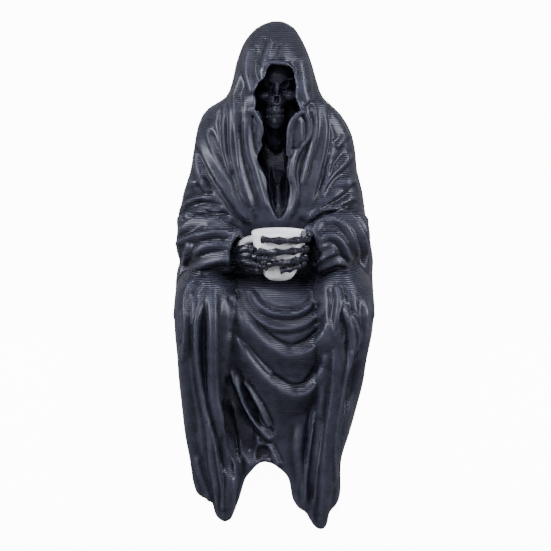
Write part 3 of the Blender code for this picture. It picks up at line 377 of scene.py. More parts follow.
# pleats round the back: number, depth at the seat, the height where they start and their run down,
# the middle that they fan from, and where the back begins
PLEATS = 15
PLEAT_DEPTH = 1.5
PLEAT_TOP = 96.0
PLEAT_RUN = 80.0
PLEAT_CENTRE_Y = 10.0
BACK_START_Y = 6.0
BACK_RUN = 10.0

# fingers round the cup: start and end height, start and end angle from the front, radius
LEFT_FINGERS = (
    (39.4, 38.6, -78.0, -58.0, 1.2),
    (36.8, 36.0, -78.0, -8.0, 1.2),
    (33.6, 32.8, -76.0, -30.0, 1.2),
    (31.2, 30.6, -84.0, -58.0, 1.1),
)
RIGHT_FINGERS = (
    (43.0, 43.8, 98.0, -33.0, 1.2),
    (39.6, 38.9, 100.0, -42.0, 1.2),
    (36.6, 34.2, 100.0, -24.0, 1.2),
    (34.2, 31.6, 98.0, 2.0, 1.15),
    (44.0, 45.6, 98.0, 50.0, 1.1),
)
LEFT_WRIST = (-21.0, -6.0, 36.0)
RIGHT_WRIST = (19.8, -5.0, 40.0)
PALMS = (
    ("left_palm", (-19.0, -8.4, 34.8), (2.8, 2.8, 4.2)),
    ("right_palm", (17.0, -7.2, 38.4), (2.9, 3.0, 5.2)),
)

# hollow in the end of each sleeve
CUFF_WALL = 2.4
CUFF_DEPTH = 4.0

# skull: name, centre, half sizes; then the sockets and the nose
SKULL_FORMS = (
    ("cranium", (0.6, 16.0, 104.6), (7.6, 9.6, 8.4)),
    ("brow", (0.7, 9.9, 103.4), (6.6, 2.4, 1.6)),
    ("nose_bridge", (0.5, 8.2, 99.8), (1.1, 1.9, 2.8)),
    ("cheek_left", (-3.8, 11.9, 96.6), (3.4, 3.2, 2.6)),
    ("cheek_right", (5.2, 11.9, 96.4), (3.6, 3.2, 2.6)),
    ("upper_jaw", (0.2, 10.8, 94.6), (4.3, 5.0, 3.6)),
    ("teeth", (-0.1, 10.2, 90.6), (4.0, 4.5, 3.6)),
    ("lower_jaw", (-0.1, 10.4, 86.8), (4.1, 4.7, 3.5)),
    ("chin", (-0.1, 7.4, 85.0), (2.2, 1.5, 1.4)),
    ("neck", (0.0, 16.0, 88.0), (5.0, 5.4, 14.0)),
)
SKULL_HOLLOWS = (
    ((-3.4, 6.8, 100.6), (2.6, 3.2, 2.2)),
    ((4.7, 6.8, 100.4), (2.9, 3.2, 2.4)),
    ((0.0, 5.8, 95.4), (0.8, 2.6, 1.7)),
    ((0.8, 5.8, 95.4), (0.8, 2.6, 1.7)),
)

# teeth: rows as height and half height, number and width, place of the middle one, bend of the row
TOOTH_ROWS = ((91.0, 1.0), (88.6, 0.9))
TEETH_PER_ROW = 7
TOOTH_WIDTH = 1.0
TOOTH_HALF_WIDTH = TOOTH_WIDTH * 0.46
TOOTH_HALF_DEPTH = 0.5
TOOTH_MIDDLE = (-0.1, 6.2)
TOOTH_BEND = 0.1

# printed looks: darkest and lightest tone, range of roughness, gloss, its tint,
# layer height and relief in metres
BLACK_PRINT = (
    (0.005, 0.0053, 0.0095), (0.064, 0.068, 0.106), (0.27, 0.37), 0.45, (0.84, 0.86, 1.0), 0.0007, 0.0001,
)
BONE_PRINT = (
    (0.004, 0.0042, 0.0075), (0.03, 0.032, 0.05), (0.2, 0.3), 0.5, (0.84, 0.86, 1.0), 0.0007, 0.0001,
)
WHITE_PRINT = (
    (0.86, 0.89, 0.93), (0.92, 0.95, 0.99), (0.4, 0.5), 0.5, (1.0, 1.0, 1.0), 0.0003, 0.000008,
)

# cloudy grain: cells per metre, detail, used range, share in the tone, and shift of the layers
GRAIN_SCALE = 260.0
GRAIN_DETAIL = 5.0
GRAIN_RANGE = (0.3, 0.7)
GRAIN_TONE = 0.2
LAYER_WOBBLE = 0.2

# layers: slope of the surface from, to; strength of the relief and of the stripes there
RELIEF_BY_SLOPE = (0.15, 0.85, 0.25, 1.0)
STRIPE_BY_SLOPE = (0.1, 0.7, 0.05, 0.3)

# painted highlight on ridges and painted shade in creases: range of convexity, share in the tone
PAINTED_RIDGE_LIGHT_RANGE = (0.485, 0.56)
PAINTED_HIGHLIGHT_TONE = 0.8

# painted shade inside the hood, darker and duller: middle, half sizes, where it fades out,
# tone as a share of the darkest one, gloss
HOOD_SHADE_CENTRE = (0.5, 15.0, 76.0)
HOOD_SHADE_RADII = (13.0, 11.0, 34.0)
HOOD_SHADE_EDGE = (0.75, 1.0)
HOOD_SHADE_TONE = 2.0
HOOD_SHADE_GLOSS = 0.2

# stage, in millimetres: name, lowest and highest corner
STAGE = (
    ("backdrop", (-1500.0, 900.0, -700.0), (1500.0, 910.0, 1500.0)),
    ("shelf_block", (-220.0, 0.0, -200.0), (220.0, 260.0, -0.05)),
    ("floor", (-1500.0, -150.0, -210.0), (1500.0, 910.0, -200.0)),
)
STAGE_TONE = 0.9
STAGE_GLOW = 12.0

# lights, in metres and watts: name, place, width and height, power; they look at one target
SOFTBOXES = (
    ("front_softbox", (-0.12, -0.76, 0.68), (0.15, 0.15), 6.0),
    ("right_softbox", (0.62, -0.3, 0.3), (0.2, 0.5), 6.4),
    ("left_softbox", (-0.62, -0.3, 0.3), (0.2, 0.5), 7.0),
)
LIGHT_TARGET = (0.0, 0.0, 0.02)
WORLD_STRENGTH = 0.26


def new_collection(name):
    group = bpy.data.collections.new(name)
    bpy.context.scene.collection.children.link(group)
    return group


def add_object(name, mesh, group):
    item = bpy.data.objects.new(name, mesh)
    group.objects.link(item)
    return item


def evaluated_mesh(item):
    bpy.context.view_layer.update()
    graph = bpy.context.evaluated_depsgraph_get()
    return bpy.data.meshes.new_from_object(item.evaluated_get(graph), depsgraph=graph)


def apply_modifiers(item):
    item.data = evaluated_mesh(item)
    item.modifiers.clear()


def vertex_values(mesh, key):
    """The vertices' places or normals, one row each."""
    flat = np.empty(len(mesh.vertices) * 3)
    mesh.vertices.foreach_get(key, flat)
    return flat.reshape(-1, 3)


def set_places(mesh, places):
    mesh.vertices.foreach_set("co", places.ravel())
    mesh.update()


def skin(name, rings, group):
    """Closed skin through rings with the same number of points."""
    bm = bmesh.new()
    loops = [[bm.verts.new(Vector(point) * MM) for point in ring] for ring in rings]
    for low, high in zip(loops, loops[1:]):
        for i in range(len(low)):
            j = (i + 1) % len(low)
            bm.faces.new((low[i], low[j], high[j], high[i]))
    bm.faces.new(list(reversed(loops[0])))
    bm.faces.new(loops[-1])
    bmesh.ops.recalc_face_normals(bm, faces=bm.faces)
    mesh = bpy.data.meshes.new(name)
    bm.to_mesh(mesh)
    bm.free()
    return add_object(name, mesh, group)


def oval_ring(section, count):
    """Level ring whose left, right, front and back reach are given."""
    z, left, right, front, widest, back, square = section
    ring = []
    for k in range(count):
        angle = 2.0 * math.pi * k / count
        across = math.copysign(abs(math.cos(angle)) ** (2.0 / square), math.cos(angle))
        along = math.copysign(abs(math.sin(angle)) ** (2.0 / square), math.sin(angle))
        x = (left + right) / 2.0 + across * (right - left) / 2.0
        y = widest + along * (back - widest if along > 0.0 else widest - front)
        ring.append((x, y, z))
    return ring


def sleeve(name, stations, group, count=24):
    """Oval tube, taller than wide, through the stations."""
    rings = []
    for i, (x, y, z, half_height, half_width) in enumerate(stations):
        before = Vector(stations[max(i - 1, 0)][:3])
        after = Vector(stations[min(i + 1, len(stations) - 1)][:3])
        forward = (after - before).normalized()
        side = forward.cross(Vector((0.0, 0.0, 1.0)))
        if side.length < 0.35:
            side = forward.cross(Vector((0.0, 1.0, 0.0)))
        side.normalize()
        rise = side.cross(forward).normalized()
        ring = []
        for k in range(count):
            angle = 2.0 * math.pi * k / count
            offset = side * (half_width * math.cos(angle)) + rise * (half_height * math.sin(angle))
            ring.append(Vector((x, y, z)) + offset)
        rings.append(ring)
    return skin(name, rings, group)


def tube(name, points, group, resolution=5):
    """Round rod along a smooth curve; every point is x, y, z, radius."""
    curve = bpy.data.curves.new(name, "CURVE")
    curve.dimensions = "3D"
    curve.bevel_depth = MM
    curve.bevel_resolution = resolution
    curve.use_fill_caps = True
    curve.resolution_u = 6
    spline = curve.splines.new("BEZIER")
    spline.bezier_points.add(len(points) - 1)
    for knot, (x, y, z, radius) in zip(spline.bezier_points, points):
        knot.co = Vector((x, y, z)) * MM
        knot.radius = radius
        knot.handle_left_type = "AUTO"
        knot.handle_right_type = "AUTO"
    return add_object(name, curve, group)


def ball(name, centre, radii, group, levels):
    """Ball with a half size of its own along each axis."""
    bm = bmesh.new()
    bmesh.ops.create_icosphere(bm, subdivisions=levels, radius=1.0)
    for vert in bm.verts:
        vert.co = Vector([(c + r * v) * MM for c, r, v in zip(centre, radii, vert.co)])
    mesh = bpy.data.meshes.new(name)
    bm.to_mesh(mesh)
    bm.free()
    return add_object(name, mesh, group)


def curve_point(p0, p1, p2, p3, t):
    """Point at the share t of the way from p1 to p2, on a smooth curve through all four."""
    return 0.5 * (2 * p1 + (p2 - p0) * t + (2 * p0 - 5 * p1 + 4 * p2 - p3) * t * t
                  + (3 * p1 - p0 - 3 * p2 + p3) * t ** 3)


def smooth_loop(points, steps):
    """Closed smooth curve through the points."""
    count = len(points)
    loop = []
    for i in range(count):
        near = [np.array(points[(i + k) % count]) for k in (-1, 0, 1, 2)]
        loop += [curve_point(*near, k / steps) for k in range(steps)]
    return loop


def hanging_cloth(group):
    """Cloth in front of the shelf, with its front edge rounded."""
    left = [(x, z) for z, x, _ in DRAPE_SIDES]
    right = [(x, z) for z, _, x in reversed(DRAPE_SIDES)]
    outline = smooth_loop([*left, *DRAPE_HEM, *right, (0.0, DRAPE_SIDES[0][0] + 1.0)], 2)
    rings = []
    for y, inset in DRAPE_ROUNDING:
        ring = []
        for i, point in enumerate(outline):
            ahead = outline[(i + 1) % len(outline)] - outline[i - 1]
            inward = np.array((-ahead[1], ahead[0])) / np.linalg.norm(ahead)
            spot = point + inward * inset
            ring.append((spot[0], y, spot[1]))
        rings.append(ring)
    return skin("hanging_cloth", rings, group)


def opening_cutter(group):
    """Solid that hollows the hood and the neck opening; it is deeper in the hood."""
    outline = smooth_loop([*OPENING_LEFT, *reversed(OPENING_RIGHT)], 2)
    heights, depths = zip(*OPENING_DEPTHS)
    middle = (heights[0] + heights[-1]) / 2.0
    rings = [[(x, OPENING_FRONT_Y, z) for x, z in outline]]
    for share, scale in OPENING_SHARES:
        rings.append([(x * scale, share * np.interp(z, heights, depths), middle + (z - middle) * scale)
                      for x, z in outline])
    return skin("opening_cutter", rings, group)


def cuff_cutter(name, stations, group):
    """Tapered hollow in the end of a sleeve."""
    *_, before, last = stations
    end = Vector(last[:3])
    ahead = (end - Vector(before[:3])).normalized()
    rings = []
    for along, scale in ((-1.0, 0.55), (-0.75, 0.9), (0.0, 1.0), (0.8, 1.05)):
        height, width = ((size - CUFF_WALL) * scale for size in last[3:])
        rings.append((*(end + ahead * along * CUFF_DEPTH), height, width))
    return sleeve(name, rings, group)


def apply_boolean(item, cutter, operation):
    modifier = item.modifiers.new(operation.lower(), "BOOLEAN")
    modifier.operation = operation
    modifier.solver = "EXACT"
    modifier.object = cutter
    apply_modifiers(item)


def join(name, items, group):
    """One mesh that holds the evaluated shapes of the items."""
    bm = bmesh.new()
    for item in items:
        bm.from_mesh(evaluated_mesh(item))
    mesh = bpy.data.meshes.new(name)
    bm.to_mesh(mesh)
    bm.free()
    for item in items:
        bpy.data.objects.remove(item, do_unlink=True)
    return add_object(name, mesh, group)


def soften(item, rounds):
    smooth = item.modifiers.new("smooth", "SMOOTH")
    smooth.factor = 0.5
    smooth.iterations = rounds
    apply_modifiers(item)


def melt(item, voxel, rounds):
    """Fuse overlapping shapes into one skin and soften it."""
    remesh = item.modifiers.new("remesh", "REMESH")
    remesh.mode = "VOXEL"
    remesh.voxel_size = voxel * MM
    soften(item, rounds)


def reduce_to(item, triangles):
    decimate = item.modifiers.new("facets", "DECIMATE")
    decimate.ratio = triangles / sum(len(face.vertices) - 2 for face in item.data.polygons)
    apply_modifiers(item)


def front_view(points):
    """Points in millimetres as seen in the front view: across, up."""
    across, along, up = (points - np.array(VIEW_CENTRE)).T
    depth = along * math.cos(VIEW_TILT) - up * math.sin(VIEW_TILT)
    rise = up * math.cos(VIEW_TILT) + along * math.sin(VIEW_TILT)
    scale = VIEW_DISTANCE / (VIEW_DISTANCE + depth)
    return np.stack((across * scale, rise * scale), axis=1)


def smooth_line(points, steps):
    """Points on a smooth open curve through the given ones."""
    count = len(points)
    line = []
    for i in range(count - 1):
        near = [np.array(points[min(max(i + k, 0), count - 1)]) for k in (-1, 0, 1, 2)]
        line += [curve_point(*near, k / steps) for k in range(steps)]
    return np.array([*line, points[-1]])


def fold_height(view):
    """Height of the carved folds at each point of the front view."""
    crests = np.zeros(len(view))
    troughs = np.zeros(len(view))
    for points, ridge, width, side, blunt in FOLD_LINES:
        line = smooth_line(points, 6)
        reach = FOLD_REACH * width
        near = np.all((view > line.min(axis=0) - reach) & (view < line.max(axis=0) + reach), axis=1)
        spots = view[near]
        nearest = np.full(len(spots), 1e9)
        offset = np.zeros(len(spots))
        share = np.zeros(len(spots))
        for i in range(len(line) - 1):
            start, step = line[i], line[i + 1] - line[i]
            length = np.linalg.norm(step)
            ahead = step / length
            run = np.clip((spots - start) @ ahead, 0.0, length)
            gap = spots - start - run[:, None] * ahead
            distance = np.linalg.norm(gap, axis=1)
            closer = distance < nearest
            nearest[closer] = distance[closer]
            turn = np.sign(ahead[0] * gap[:, 1] - ahead[1] * gap[:, 0])
            offset[closer] = (turn * distance)[closer]
            share[closer] = ((i + run / length) / (len(line) - 1))[closer]
        fade = np.clip(np.minimum(share, 1.0 - share) / FOLD_FADE, 0.0, 1.0)
        fade = FOLD_END + (1.0 - FOLD_END) * fade * fade * (3.0 - 2.0 * fade)
        beside = nearest if side == 0 else offset * side
        crest_width = np.where(beside > 0.0, width, FOLD_SLOPE * width)
        crest = np.exp(-np.abs(beside / crest_width) ** blunt)
        trough = np.exp(-((beside - 2.0 * width) / (0.9 * width)) ** 2)
        crests[near] = np.maximum(crests[near], fade * ridge * crest)
        troughs[near] = np.maximum(troughs[near], fade * ridge * trough * FOLD_VALLEY)
    return crests - troughs * np.clip(1.0 - crests, 0.2, 1.0)


def hollow_depth(view):
    """Depth of the hollows at each point of the front view."""
    depth = np.zeros(len(view))
    for centre, (half_width, half_height), turn, deep in HOLLOWS:
        cosine, sine = math.cos(math.radians(turn)), math.sin(math.radians(turn))
        away = view - np.array(centre)
        along_width = (away[:, 0] * cosine + away[:, 1] * sine) / half_width
        along_height = (away[:, 1] * cosine - away[:, 0] * sine) / half_height
        share = np.clip(1.35 - np.hypot(along_width, along_height), 0.0, 0.7) / 0.7
        depth = np.maximum(depth, deep * share * share * (3.0 - 2.0 * share))
    return depth


def carve(item):
    """Draw the folds into the front and pleats into the back."""
    points = vertex_values(item.data, "co") / MM
    normals = vertex_values(item.data, "normal")
    facing = np.clip((-normals[:, 1] - FACING_START) / FACING_SPAN, 0.0, 1.0)
    view = front_view(points)
    lift = (fold_height(view) - hollow_depth(view)) * facing

    angle = np.arctan2(points[:, 0], points[:, 1] - PLEAT_CENTRE_Y)
    grow = np.clip((PLEAT_TOP - points[:, 2]) / PLEAT_RUN, 0.0, 1.0)
    turned_back = np.clip((normals[:, 1] + 0.45) / 0.6, 0.0, 1.0)
    behind = turned_back * np.clip((points[:, 1] - BACK_START_Y) / BACK_RUN, 0.0, 1.0)
    phase = PLEATS * angle + 1.1 * np.sin(3.0 * angle + points[:, 2] / 30.0)
    lift += PLEAT_DEPTH * grow * behind * (np.abs(np.sin(phase / 2.0)) * 2.0 - 1.2)

    points += normals * lift[:, None]
    set_places(item.data, points * MM)


def cup_profile():
    """Outer radius and height above the base, bottom to top."""
    return [(r * CUP_TOP_RADIUS, h * CUP_HEIGHT) for r, h in CUP_PROFILE]


def cup_radius(z):
    radii, heights = zip(*cup_profile())
    return float(np.interp(z - CUP_BASE_Z, heights, radii))


def finger(name, spec, wrist, group):
    """Bony finger that hugs the cup: thin bones between thick joints, tied to the wrist."""
    start_z, end_z, start, end, radius = spec
    points = [(*wrist, radius * 1.5)]
    shares = np.linspace(0.0, 1.0, 17)
    for i, share in enumerate(shares):
        angle = math.radians(start + (end - start) * share)
        z = start_z + (end_z - start_z) * share
        thick = radius * (1.4, 1.0, 0.8, 1.0)[i % 4]
        away = cup_radius(z) + radius + (1.0 if i == 0 else 0.3)
        x = CUP_CENTRE[0] + away * math.sin(angle)
        y = CUP_CENTRE[1] - away * math.cos(angle)
        points.append((x, y, z, thick))
    return tube(name, points, group)


def skull(group):
    """Skull that looks out of the hood, with teeth rounded by wear."""
    forms = [ball(name, centre, radii, group, 5) for name, centre, radii in SKULL_FORMS]
    for z, tall in TOOTH_ROWS:
        for k in range(TEETH_PER_ROW):
            across = (k - (TEETH_PER_ROW - 1) / 2.0) * TOOTH_WIDTH
            spot = (TOOTH_MIDDLE[0] + across, TOOTH_MIDDLE[1] + TOOTH_BEND * across * across, z)
            forms.append(ball("tooth", spot, (TOOTH_HALF_WIDTH, TOOTH_HALF_DEPTH, tall), group, 4))
    head = join("skull", forms, group)
    melt(head, BONE_VOXEL, 2)
    holes = [ball("hollow", centre, radii, group, 5) for centre, radii in SKULL_HOLLOWS]
    hollow = join("hollow", holes, group)
    melt(hollow, BONE_VOXEL, 1)
    apply_boolean(head, hollow, "DIFFERENCE")
    bpy.data.objects.remove(hollow, do_unlink=True)
    melt(head, BONE_VOXEL, SKULL_SMOOTHING)
    return head


def robe(group):
    """Cloth from the hood to the hem, carved, opened and hollowed at the cuffs."""
    body = join("robe", [
        skin("bell", [oval_ring(section, BELL_SEGMENTS) for section in BELL], group),
        skin("lap", [oval_ring(section, KNEE_SEGMENTS) for section in LAP], group),
        sleeve("left_sleeve", LEFT_SLEEVE, group),
        sleeve("right_sleeve", RIGHT_SLEEVE, group),
        skin("left_knee", [oval_ring(section, KNEE_SEGMENTS) for section in LEFT_KNEE], group),
        skin("right_knee", [oval_ring(section, KNEE_SEGMENTS) for section in RIGHT_KNEE], group),
        tube("left_shin", LEFT_SHIN, group),
        tube("right_shin", RIGHT_SHIN, group),
        hanging_cloth(group),
    ], group)
    melt(body, ROBE_VOXEL, ROBE_SMOOTHING)
    carve(body)
    widths = [x for section in BELL for x in section[1:3]]
    low = (2.0 * min(widths), SHELF_FRONT_Y, SHELF_CUT_LOW_Z)
    high = (2.0 * max(widths), SHELF_CUT_BACK_Y, 0.0)
    cutters = [opening_cutter(group), box("shelf", low, high, group)]
    cutters += [cuff_cutter("cuff", stations, group) for stations in (LEFT_SLEEVE, RIGHT_SLEEVE)]
    for cutter in cutters:
        apply_boolean(body, cutter, "DIFFERENCE")
        bpy.data.objects.remove(cutter, do_unlink=True)
    body = join("robe", [
        body,
        tube("left_curl", LEFT_CURL, group),
        tube("right_curl", RIGHT_CURL, group),
        *(ball(name, centre, radii, group, 4) for name, centre, radii in LOBES),
    ], group)
    melt(body, SEAM_VOXEL, 1)
    reduce_to(body, ROBE_TRIANGLES)
    soften(body, FINISH_SMOOTHING)
    sit_flat(body)
    keep_in_box(body)
    return body


def sit_flat(item):
    """Press the skin onto the two faces of the shelf."""
    points = vertex_values(item.data, "co") / MM
    over = points[:, 1] > SHELF_FRONT_Y + PRESS_START
    points[over & (points[:, 2] < PRESS_BAND), 2] = 0.0
    below = points[:, 2] < -PRESS_START
    points[below & (points[:, 1] > SHELF_FRONT_Y - PRESS_BAND), 1] = SHELF_FRONT_Y
    set_places(item.data, points * MM)


def keep_in_box(item):
    """Hold every point inside the box of the solid."""
    low, high = (np.array(corner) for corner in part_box("robed_figure"))
    set_places(item.data, np.clip(vertex_values(item.data, "co"), low, high))


def hands(group):
    """Both hands: the bony fingers and the palms that they spring from."""
    item = join("hands", [
        *(finger("finger", spec, LEFT_WRIST, group) for spec in LEFT_FINGERS),
        *(finger("finger", spec, RIGHT_WRIST, group) for spec in RIGHT_FINGERS),
        *(ball(name, centre, radii, group, 4) for name, centre, radii in PALMS),
    ], group)
    melt(item, BONE_VOXEL, 1)
    keep_in_box(item)
    return item


def turned(name, profile, group):
    """Turned skin about the cup's axis; the profile runs from axis to axis."""
    bm = bmesh.new()
    verts = [bm.verts.new((r * MM, 0.0, h * MM)) for r, h in profile]
    for pair in zip(verts, verts[1:]):
        bm.edges.new(pair)
    mesh = bpy.data.meshes.new(name)
    bm.to_mesh(mesh)
    bm.free()
    item = add_object(name, mesh, group)
    screw = item.modifiers.new("turn", "SCREW")
    screw.steps = TURNED_SEGMENTS
    screw.render_steps = TURNED_SEGMENTS
    screw.use_merge_vertices = True
    screw.merge_threshold = MERGE_DISTANCE
    screw.use_normal_calculate = True
    screw.use_normal_flip = True
    apply_modifiers(item)
    item.data.transform(Matrix.Translation(Vector((*CUP_CENTRE, CUP_BASE_Z)) * MM))
    return item


def cup_handle(name, group):
    """C-shaped rod whose ends lie in the cup's wall."""
    top = CUP_BASE_Z + HANDLE_TOP * CUP_HEIGHT
    low = CUP_BASE_Z + HANDLE_LOW * CUP_HEIGHT
    rise = top - low
    points = (
        (cup_radius(top) - 2.0 * CUP_WALL, top),
        (cup_radius(top) + 0.25 * HANDLE_REACH, top + 0.04 * rise),
        (cup_radius(top) + HANDLE_REACH, top - 0.3 * rise),
        (cup_radius(top) + 0.8 * HANDLE_REACH, low + 0.2 * rise),
        (cup_radius(low) - 2.0 * CUP_WALL, low - 0.06 * rise),
    )
    y = CUP_CENTRE[1] + HANDLE_BACK
    return tube(name, [(CUP_CENTRE[0] - reach, y, z, HANDLE_RADIUS) for reach, z in points], group, 8)


def cup(group):
    """Hollow cup with a wall, a floor and a rounded rim, and the handle cut clear of its inside."""
    outer = smooth_line(cup_profile()[:-1] + [(CUP_TOP_RADIUS - RIM_LEAN, CUP_HEIGHT - RIM_DROP)], 5)
    floor = CUP_FLOOR * 1.1
    inner = [(cup_radius(CUP_BASE_Z + floor) - 1.5 * CUP_WALL, floor)]
    inner += [(r - CUP_WALL, h) for r, h in outer if h > 2.0 * CUP_FLOOR]
    rim = [(CUP_TOP_RADIUS - inset, CUP_HEIGHT) for inset in (RIM_ROUNDING, CUP_WALL - RIM_ROUNDING)]
    middle = (0.0, CUP_FLOOR)
    item = turned("cup_bowl", [(0.0, 0.0), *outer, *rim, *reversed(inner), middle], group)
    inside = turned("inside", [middle, *inner, (0.0, inner[-1][1])], group)
    rod = cup_handle("rod", group)
    handle = add_object("handle", evaluated_mesh(rod), group)
    apply_boolean(handle, inside, "DIFFERENCE")
    apply_boolean(item, handle, "UNION")
    for extra in (rod, handle, inside):
        bpy.data.objects.remove(extra, do_unlink=True)
    return item


def box(name, low, high, group):
    bm = bmesh.new()
    bmesh.ops.create_cube(bm, size=1.0)
    for vert in bm.verts:
        vert.co = Vector([((a + b) / 2.0 + v * (b - a)) * MM for a, b, v in zip(low, high, vert.co)])
    mesh = bpy.data.meshes.new(name)
    bm.to_mesh(mesh)
    bm.free()
    return add_object(name, mesh, group)


def link_math(tree, operation, first, second):
    """Math node with each input linked or set."""
    node = tree.nodes.new("ShaderNodeMath")
    node.operation = operation
    for socket, value in zip(node.inputs, (first, second)):
        if isinstance(value, bpy.types.NodeSocket):
            tree.links.new(value, socket)
        else:
            socket.default_value = value
    return node.outputs["Value"]


def link_range(tree, value, low, high, to_low, to_high):
    """Value moved from one range to another, and held inside it."""
    node = tree.nodes.new("ShaderNodeMapRange")
    node.inputs["From Min"].default_value = low
    node.inputs["From Max"].default_value = high
    node.inputs["To Min"].default_value = to_low
    node.inputs["To Max"].default_value = to_high
    tree.links.new(value, node.inputs["Value"])
    return node.outputs["Result"]


def print_material(name, dark, light, roughness, gloss, tint, layer, relief):
    """Printed plastic: layers that show most on shallow slopes, painted highlight on ridges and painted shade
    in creases, uneven tone and gloss, and painted shade with less gloss inside the hood.
    """
    item = bpy.data.materials.new(name)
    item.use_nodes = True
    tree = item.node_tree
    nodes, links = tree.nodes, tree.links
    shader = nodes["Principled BSDF"]
    shader.inputs["Specular Tint"].default_value = (*tint, 1.0)

    place = nodes.new("ShaderNodeTexCoord").outputs["Object"]
    noise = nodes.new("ShaderNodeTexNoise")
    noise.inputs["Scale"].default_value = GRAIN_SCALE
    noise.inputs["Detail"].default_value = GRAIN_DETAIL
    links.new(place, noise.inputs["Vector"])
    cloud = noise.outputs["Fac"]

    split = nodes.new("ShaderNodeSeparateXYZ")
    links.new(place, split.inputs["Vector"])
    wobble = link_math(tree, "MULTIPLY", cloud, LAYER_WOBBLE * layer)
    height = link_math(tree, "ADD", split.outputs["Z"], wobble)
    wave = link_math(tree, "SINE", link_math(tree, "MULTIPLY", height, 2.0 * math.pi / layer), 0.0)

    facing = nodes.new("ShaderNodeSeparateXYZ")
    links.new(nodes.new("ShaderNodeNewGeometry").outputs["Normal"], facing.inputs["Vector"])
    slope = link_math(tree, "ABSOLUTE", facing.outputs["Z"], 0.0)
    bump = nodes.new("ShaderNodeBump")
    bump.inputs["Distance"].default_value = relief
    links.new(link_range(tree, slope, *RELIEF_BY_SLOPE), bump.inputs["Strength"])
    links.new(wave, bump.inputs["Height"])
    links.new(bump.outputs["Normal"], shader.inputs["Normal"])

    # painted highlight on ridges and painted shade in creases: the sharper a ridge the paler its colour,
    # creases keep the darkest tone; grain and layer stripes join the same tone
    curved = nodes.new("ShaderNodeNewGeometry").outputs["Pointiness"]
    ridge = link_range(tree, curved, *PAINTED_RIDGE_LIGHT_RANGE, 0.0, PAINTED_HIGHLIGHT_TONE)
    grain_stripes_and_painted_highlight = link_math(tree, "ADD", ridge, link_range(tree, cloud, *GRAIN_RANGE, 0.0, GRAIN_TONE))
    stripe = link_math(tree, "MULTIPLY", wave, link_range(tree, slope, *STRIPE_BY_SLOPE))
    grain_stripes_and_painted_highlight = link_math(tree, "ADD", grain_stripes_and_painted_highlight, stripe)
    tone = nodes.new("ShaderNodeMix")
    tone.data_type = "RGBA"
    tone.inputs["A"].default_value = (*dark, 1.0)
    tone.inputs["B"].default_value = (*light, 1.0)
    links.new(grain_stripes_and_painted_highlight, tone.inputs["Factor"])
    links.new(link_range(tree, cloud, *GRAIN_RANGE, *roughness), shader.inputs["Roughness"])

    # painted shade inside the hood: towards the middle of the hood and neck opening the colour turns darker
    # and the gloss lower
    inner = nodes.new("ShaderNodeMapping")
    inner.vector_type = "TEXTURE"
    inner.inputs["Location"].default_value = [v * MM for v in HOOD_SHADE_CENTRE]
    inner.inputs["Scale"].default_value = [v * MM for v in HOOD_SHADE_RADII]
    links.new(place, inner.inputs["Vector"])
    reach = nodes.new("ShaderNodeVectorMath")
    reach.operation = "LENGTH"
    links.new(inner.outputs["Vector"], reach.inputs[0])
    shade = nodes.new("ShaderNodeMix")
    shade.data_type = "RGBA"
    shade.inputs["B"].default_value = (*[v * HOOD_SHADE_TONE for v in dark], 1.0)
    links.new(tone.outputs["Result"], shade.inputs["A"])
    links.new(link_range(tree, reach.outputs["Value"], *HOOD_SHADE_EDGE, 1.0, 0.0), shade.inputs["Factor"])
    links.new(shade.outputs["Result"], shader.inputs["Base Color"])
    shine = link_range(tree, reach.outputs["Value"], *HOOD_SHADE_EDGE, HOOD_SHADE_GLOSS, gloss)
    links.new(shine, shader.inputs["Specular IOR Level"])
    return item


def stage_material(name):
    """Pale glowing surface round the figure."""
    item = bpy.data.materials.new(name)
    item.use_nodes = True
    shader = item.node_tree.nodes["Principled BSDF"]
    shader.inputs["Base Color"].default_value = (STAGE_TONE, STAGE_TONE, STAGE_TONE, 1.0)
    shader.inputs["Roughness"].default_value = STAGE_TONE
    shader.inputs["Emission Color"].default_value = (1.0, 1.0, 1.0, 1.0)
    shader.inputs["Emission Strength"].default_value = STAGE_GLOW
    return item


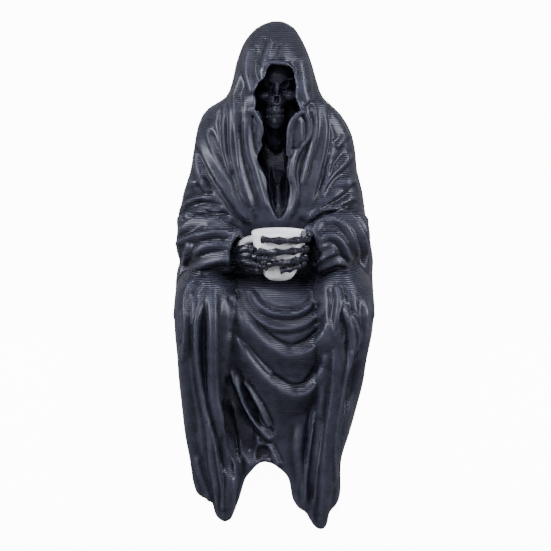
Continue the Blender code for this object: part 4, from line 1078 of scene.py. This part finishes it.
def finish_piece(item, node, look):
    """Give a piece its look and let it stand for the solid."""
    item.data.materials.clear()
    item.data.materials.append(look)
    for face in item.data.polygons:
        face.use_smooth = True
        face.material_index = 0
    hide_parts(node)
    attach(item, "root")


def area_light(name, place, size, power):
    data = bpy.data.lights.new(name, "AREA")
    data.shape = "RECTANGLE"
    data.size, data.size_y = size
    data.energy = power
    item = bpy.data.objects.new(name, data)
    bpy.context.scene.collection.objects.link(item)
    item.location = place
    item.rotation_mode = "QUATERNION"
    item.rotation_quaternion = (Vector(LIGHT_TARGET) - Vector(place)).to_track_quat("-Z", "Y")


def photo_camera():
    data = bpy.data.cameras.new("photo")
    data.sensor_width = SENSOR_WIDTH
    data.lens = SENSOR_WIDTH / 2.0 / math.tan(FIELD_OF_VIEW / 2.0)
    data.clip_start, data.clip_end = CLIP_RANGE
    item = bpy.data.objects.new("photo", data)
    bpy.context.scene.collection.objects.link(item)
    target = Vector(VIEW_CENTRE) * MM
    away = Vector((0.0, -math.cos(VIEW_TILT), math.sin(VIEW_TILT)))
    item.location = target + away * VIEW_DISTANCE * MM
    item.rotation_mode = "QUATERNION"
    item.rotation_quaternion = (-away).to_track_quat("-Z", "Y")
    bpy.context.scene.camera = item


def studio(group):
    """Pale backdrop, shelf and floor, three softboxes and an even sky."""
    pale = stage_material("pale_stage")
    stage = [box(name, low, high, group) for name, low, high in STAGE]
    for item in stage:
        item.data.materials.append(pale)
        item.visible_diffuse = False
        item.visible_glossy = False
    for light in SOFTBOXES:
        area_light(*light)
    world = bpy.context.scene.world or bpy.data.worlds.new("studio")
    bpy.context.scene.world = world
    world.use_nodes = True
    world.node_tree.nodes["Background"].inputs["Color"].default_value = (1.0, 1.0, 1.0, 1.0)
    world.node_tree.nodes["Background"].inputs["Strength"].default_value = WORLD_STRENGTH


def main():
    group = new_collection("looks")
    black = print_material("black_print_look", *BLACK_PRINT)
    white = print_material("white_print_look", *WHITE_PRINT)
    bone = print_material("bone_print_look", *BONE_PRINT)
    finish_piece(robe(group), "robed_figure", black)
    finish_piece(skull(group), "robed_figure", black)
    finish_piece(hands(group), "robed_figure", bone)
    finish_piece(cup(group), "cup", white)
    studio(group)
    photo_camera()


main()
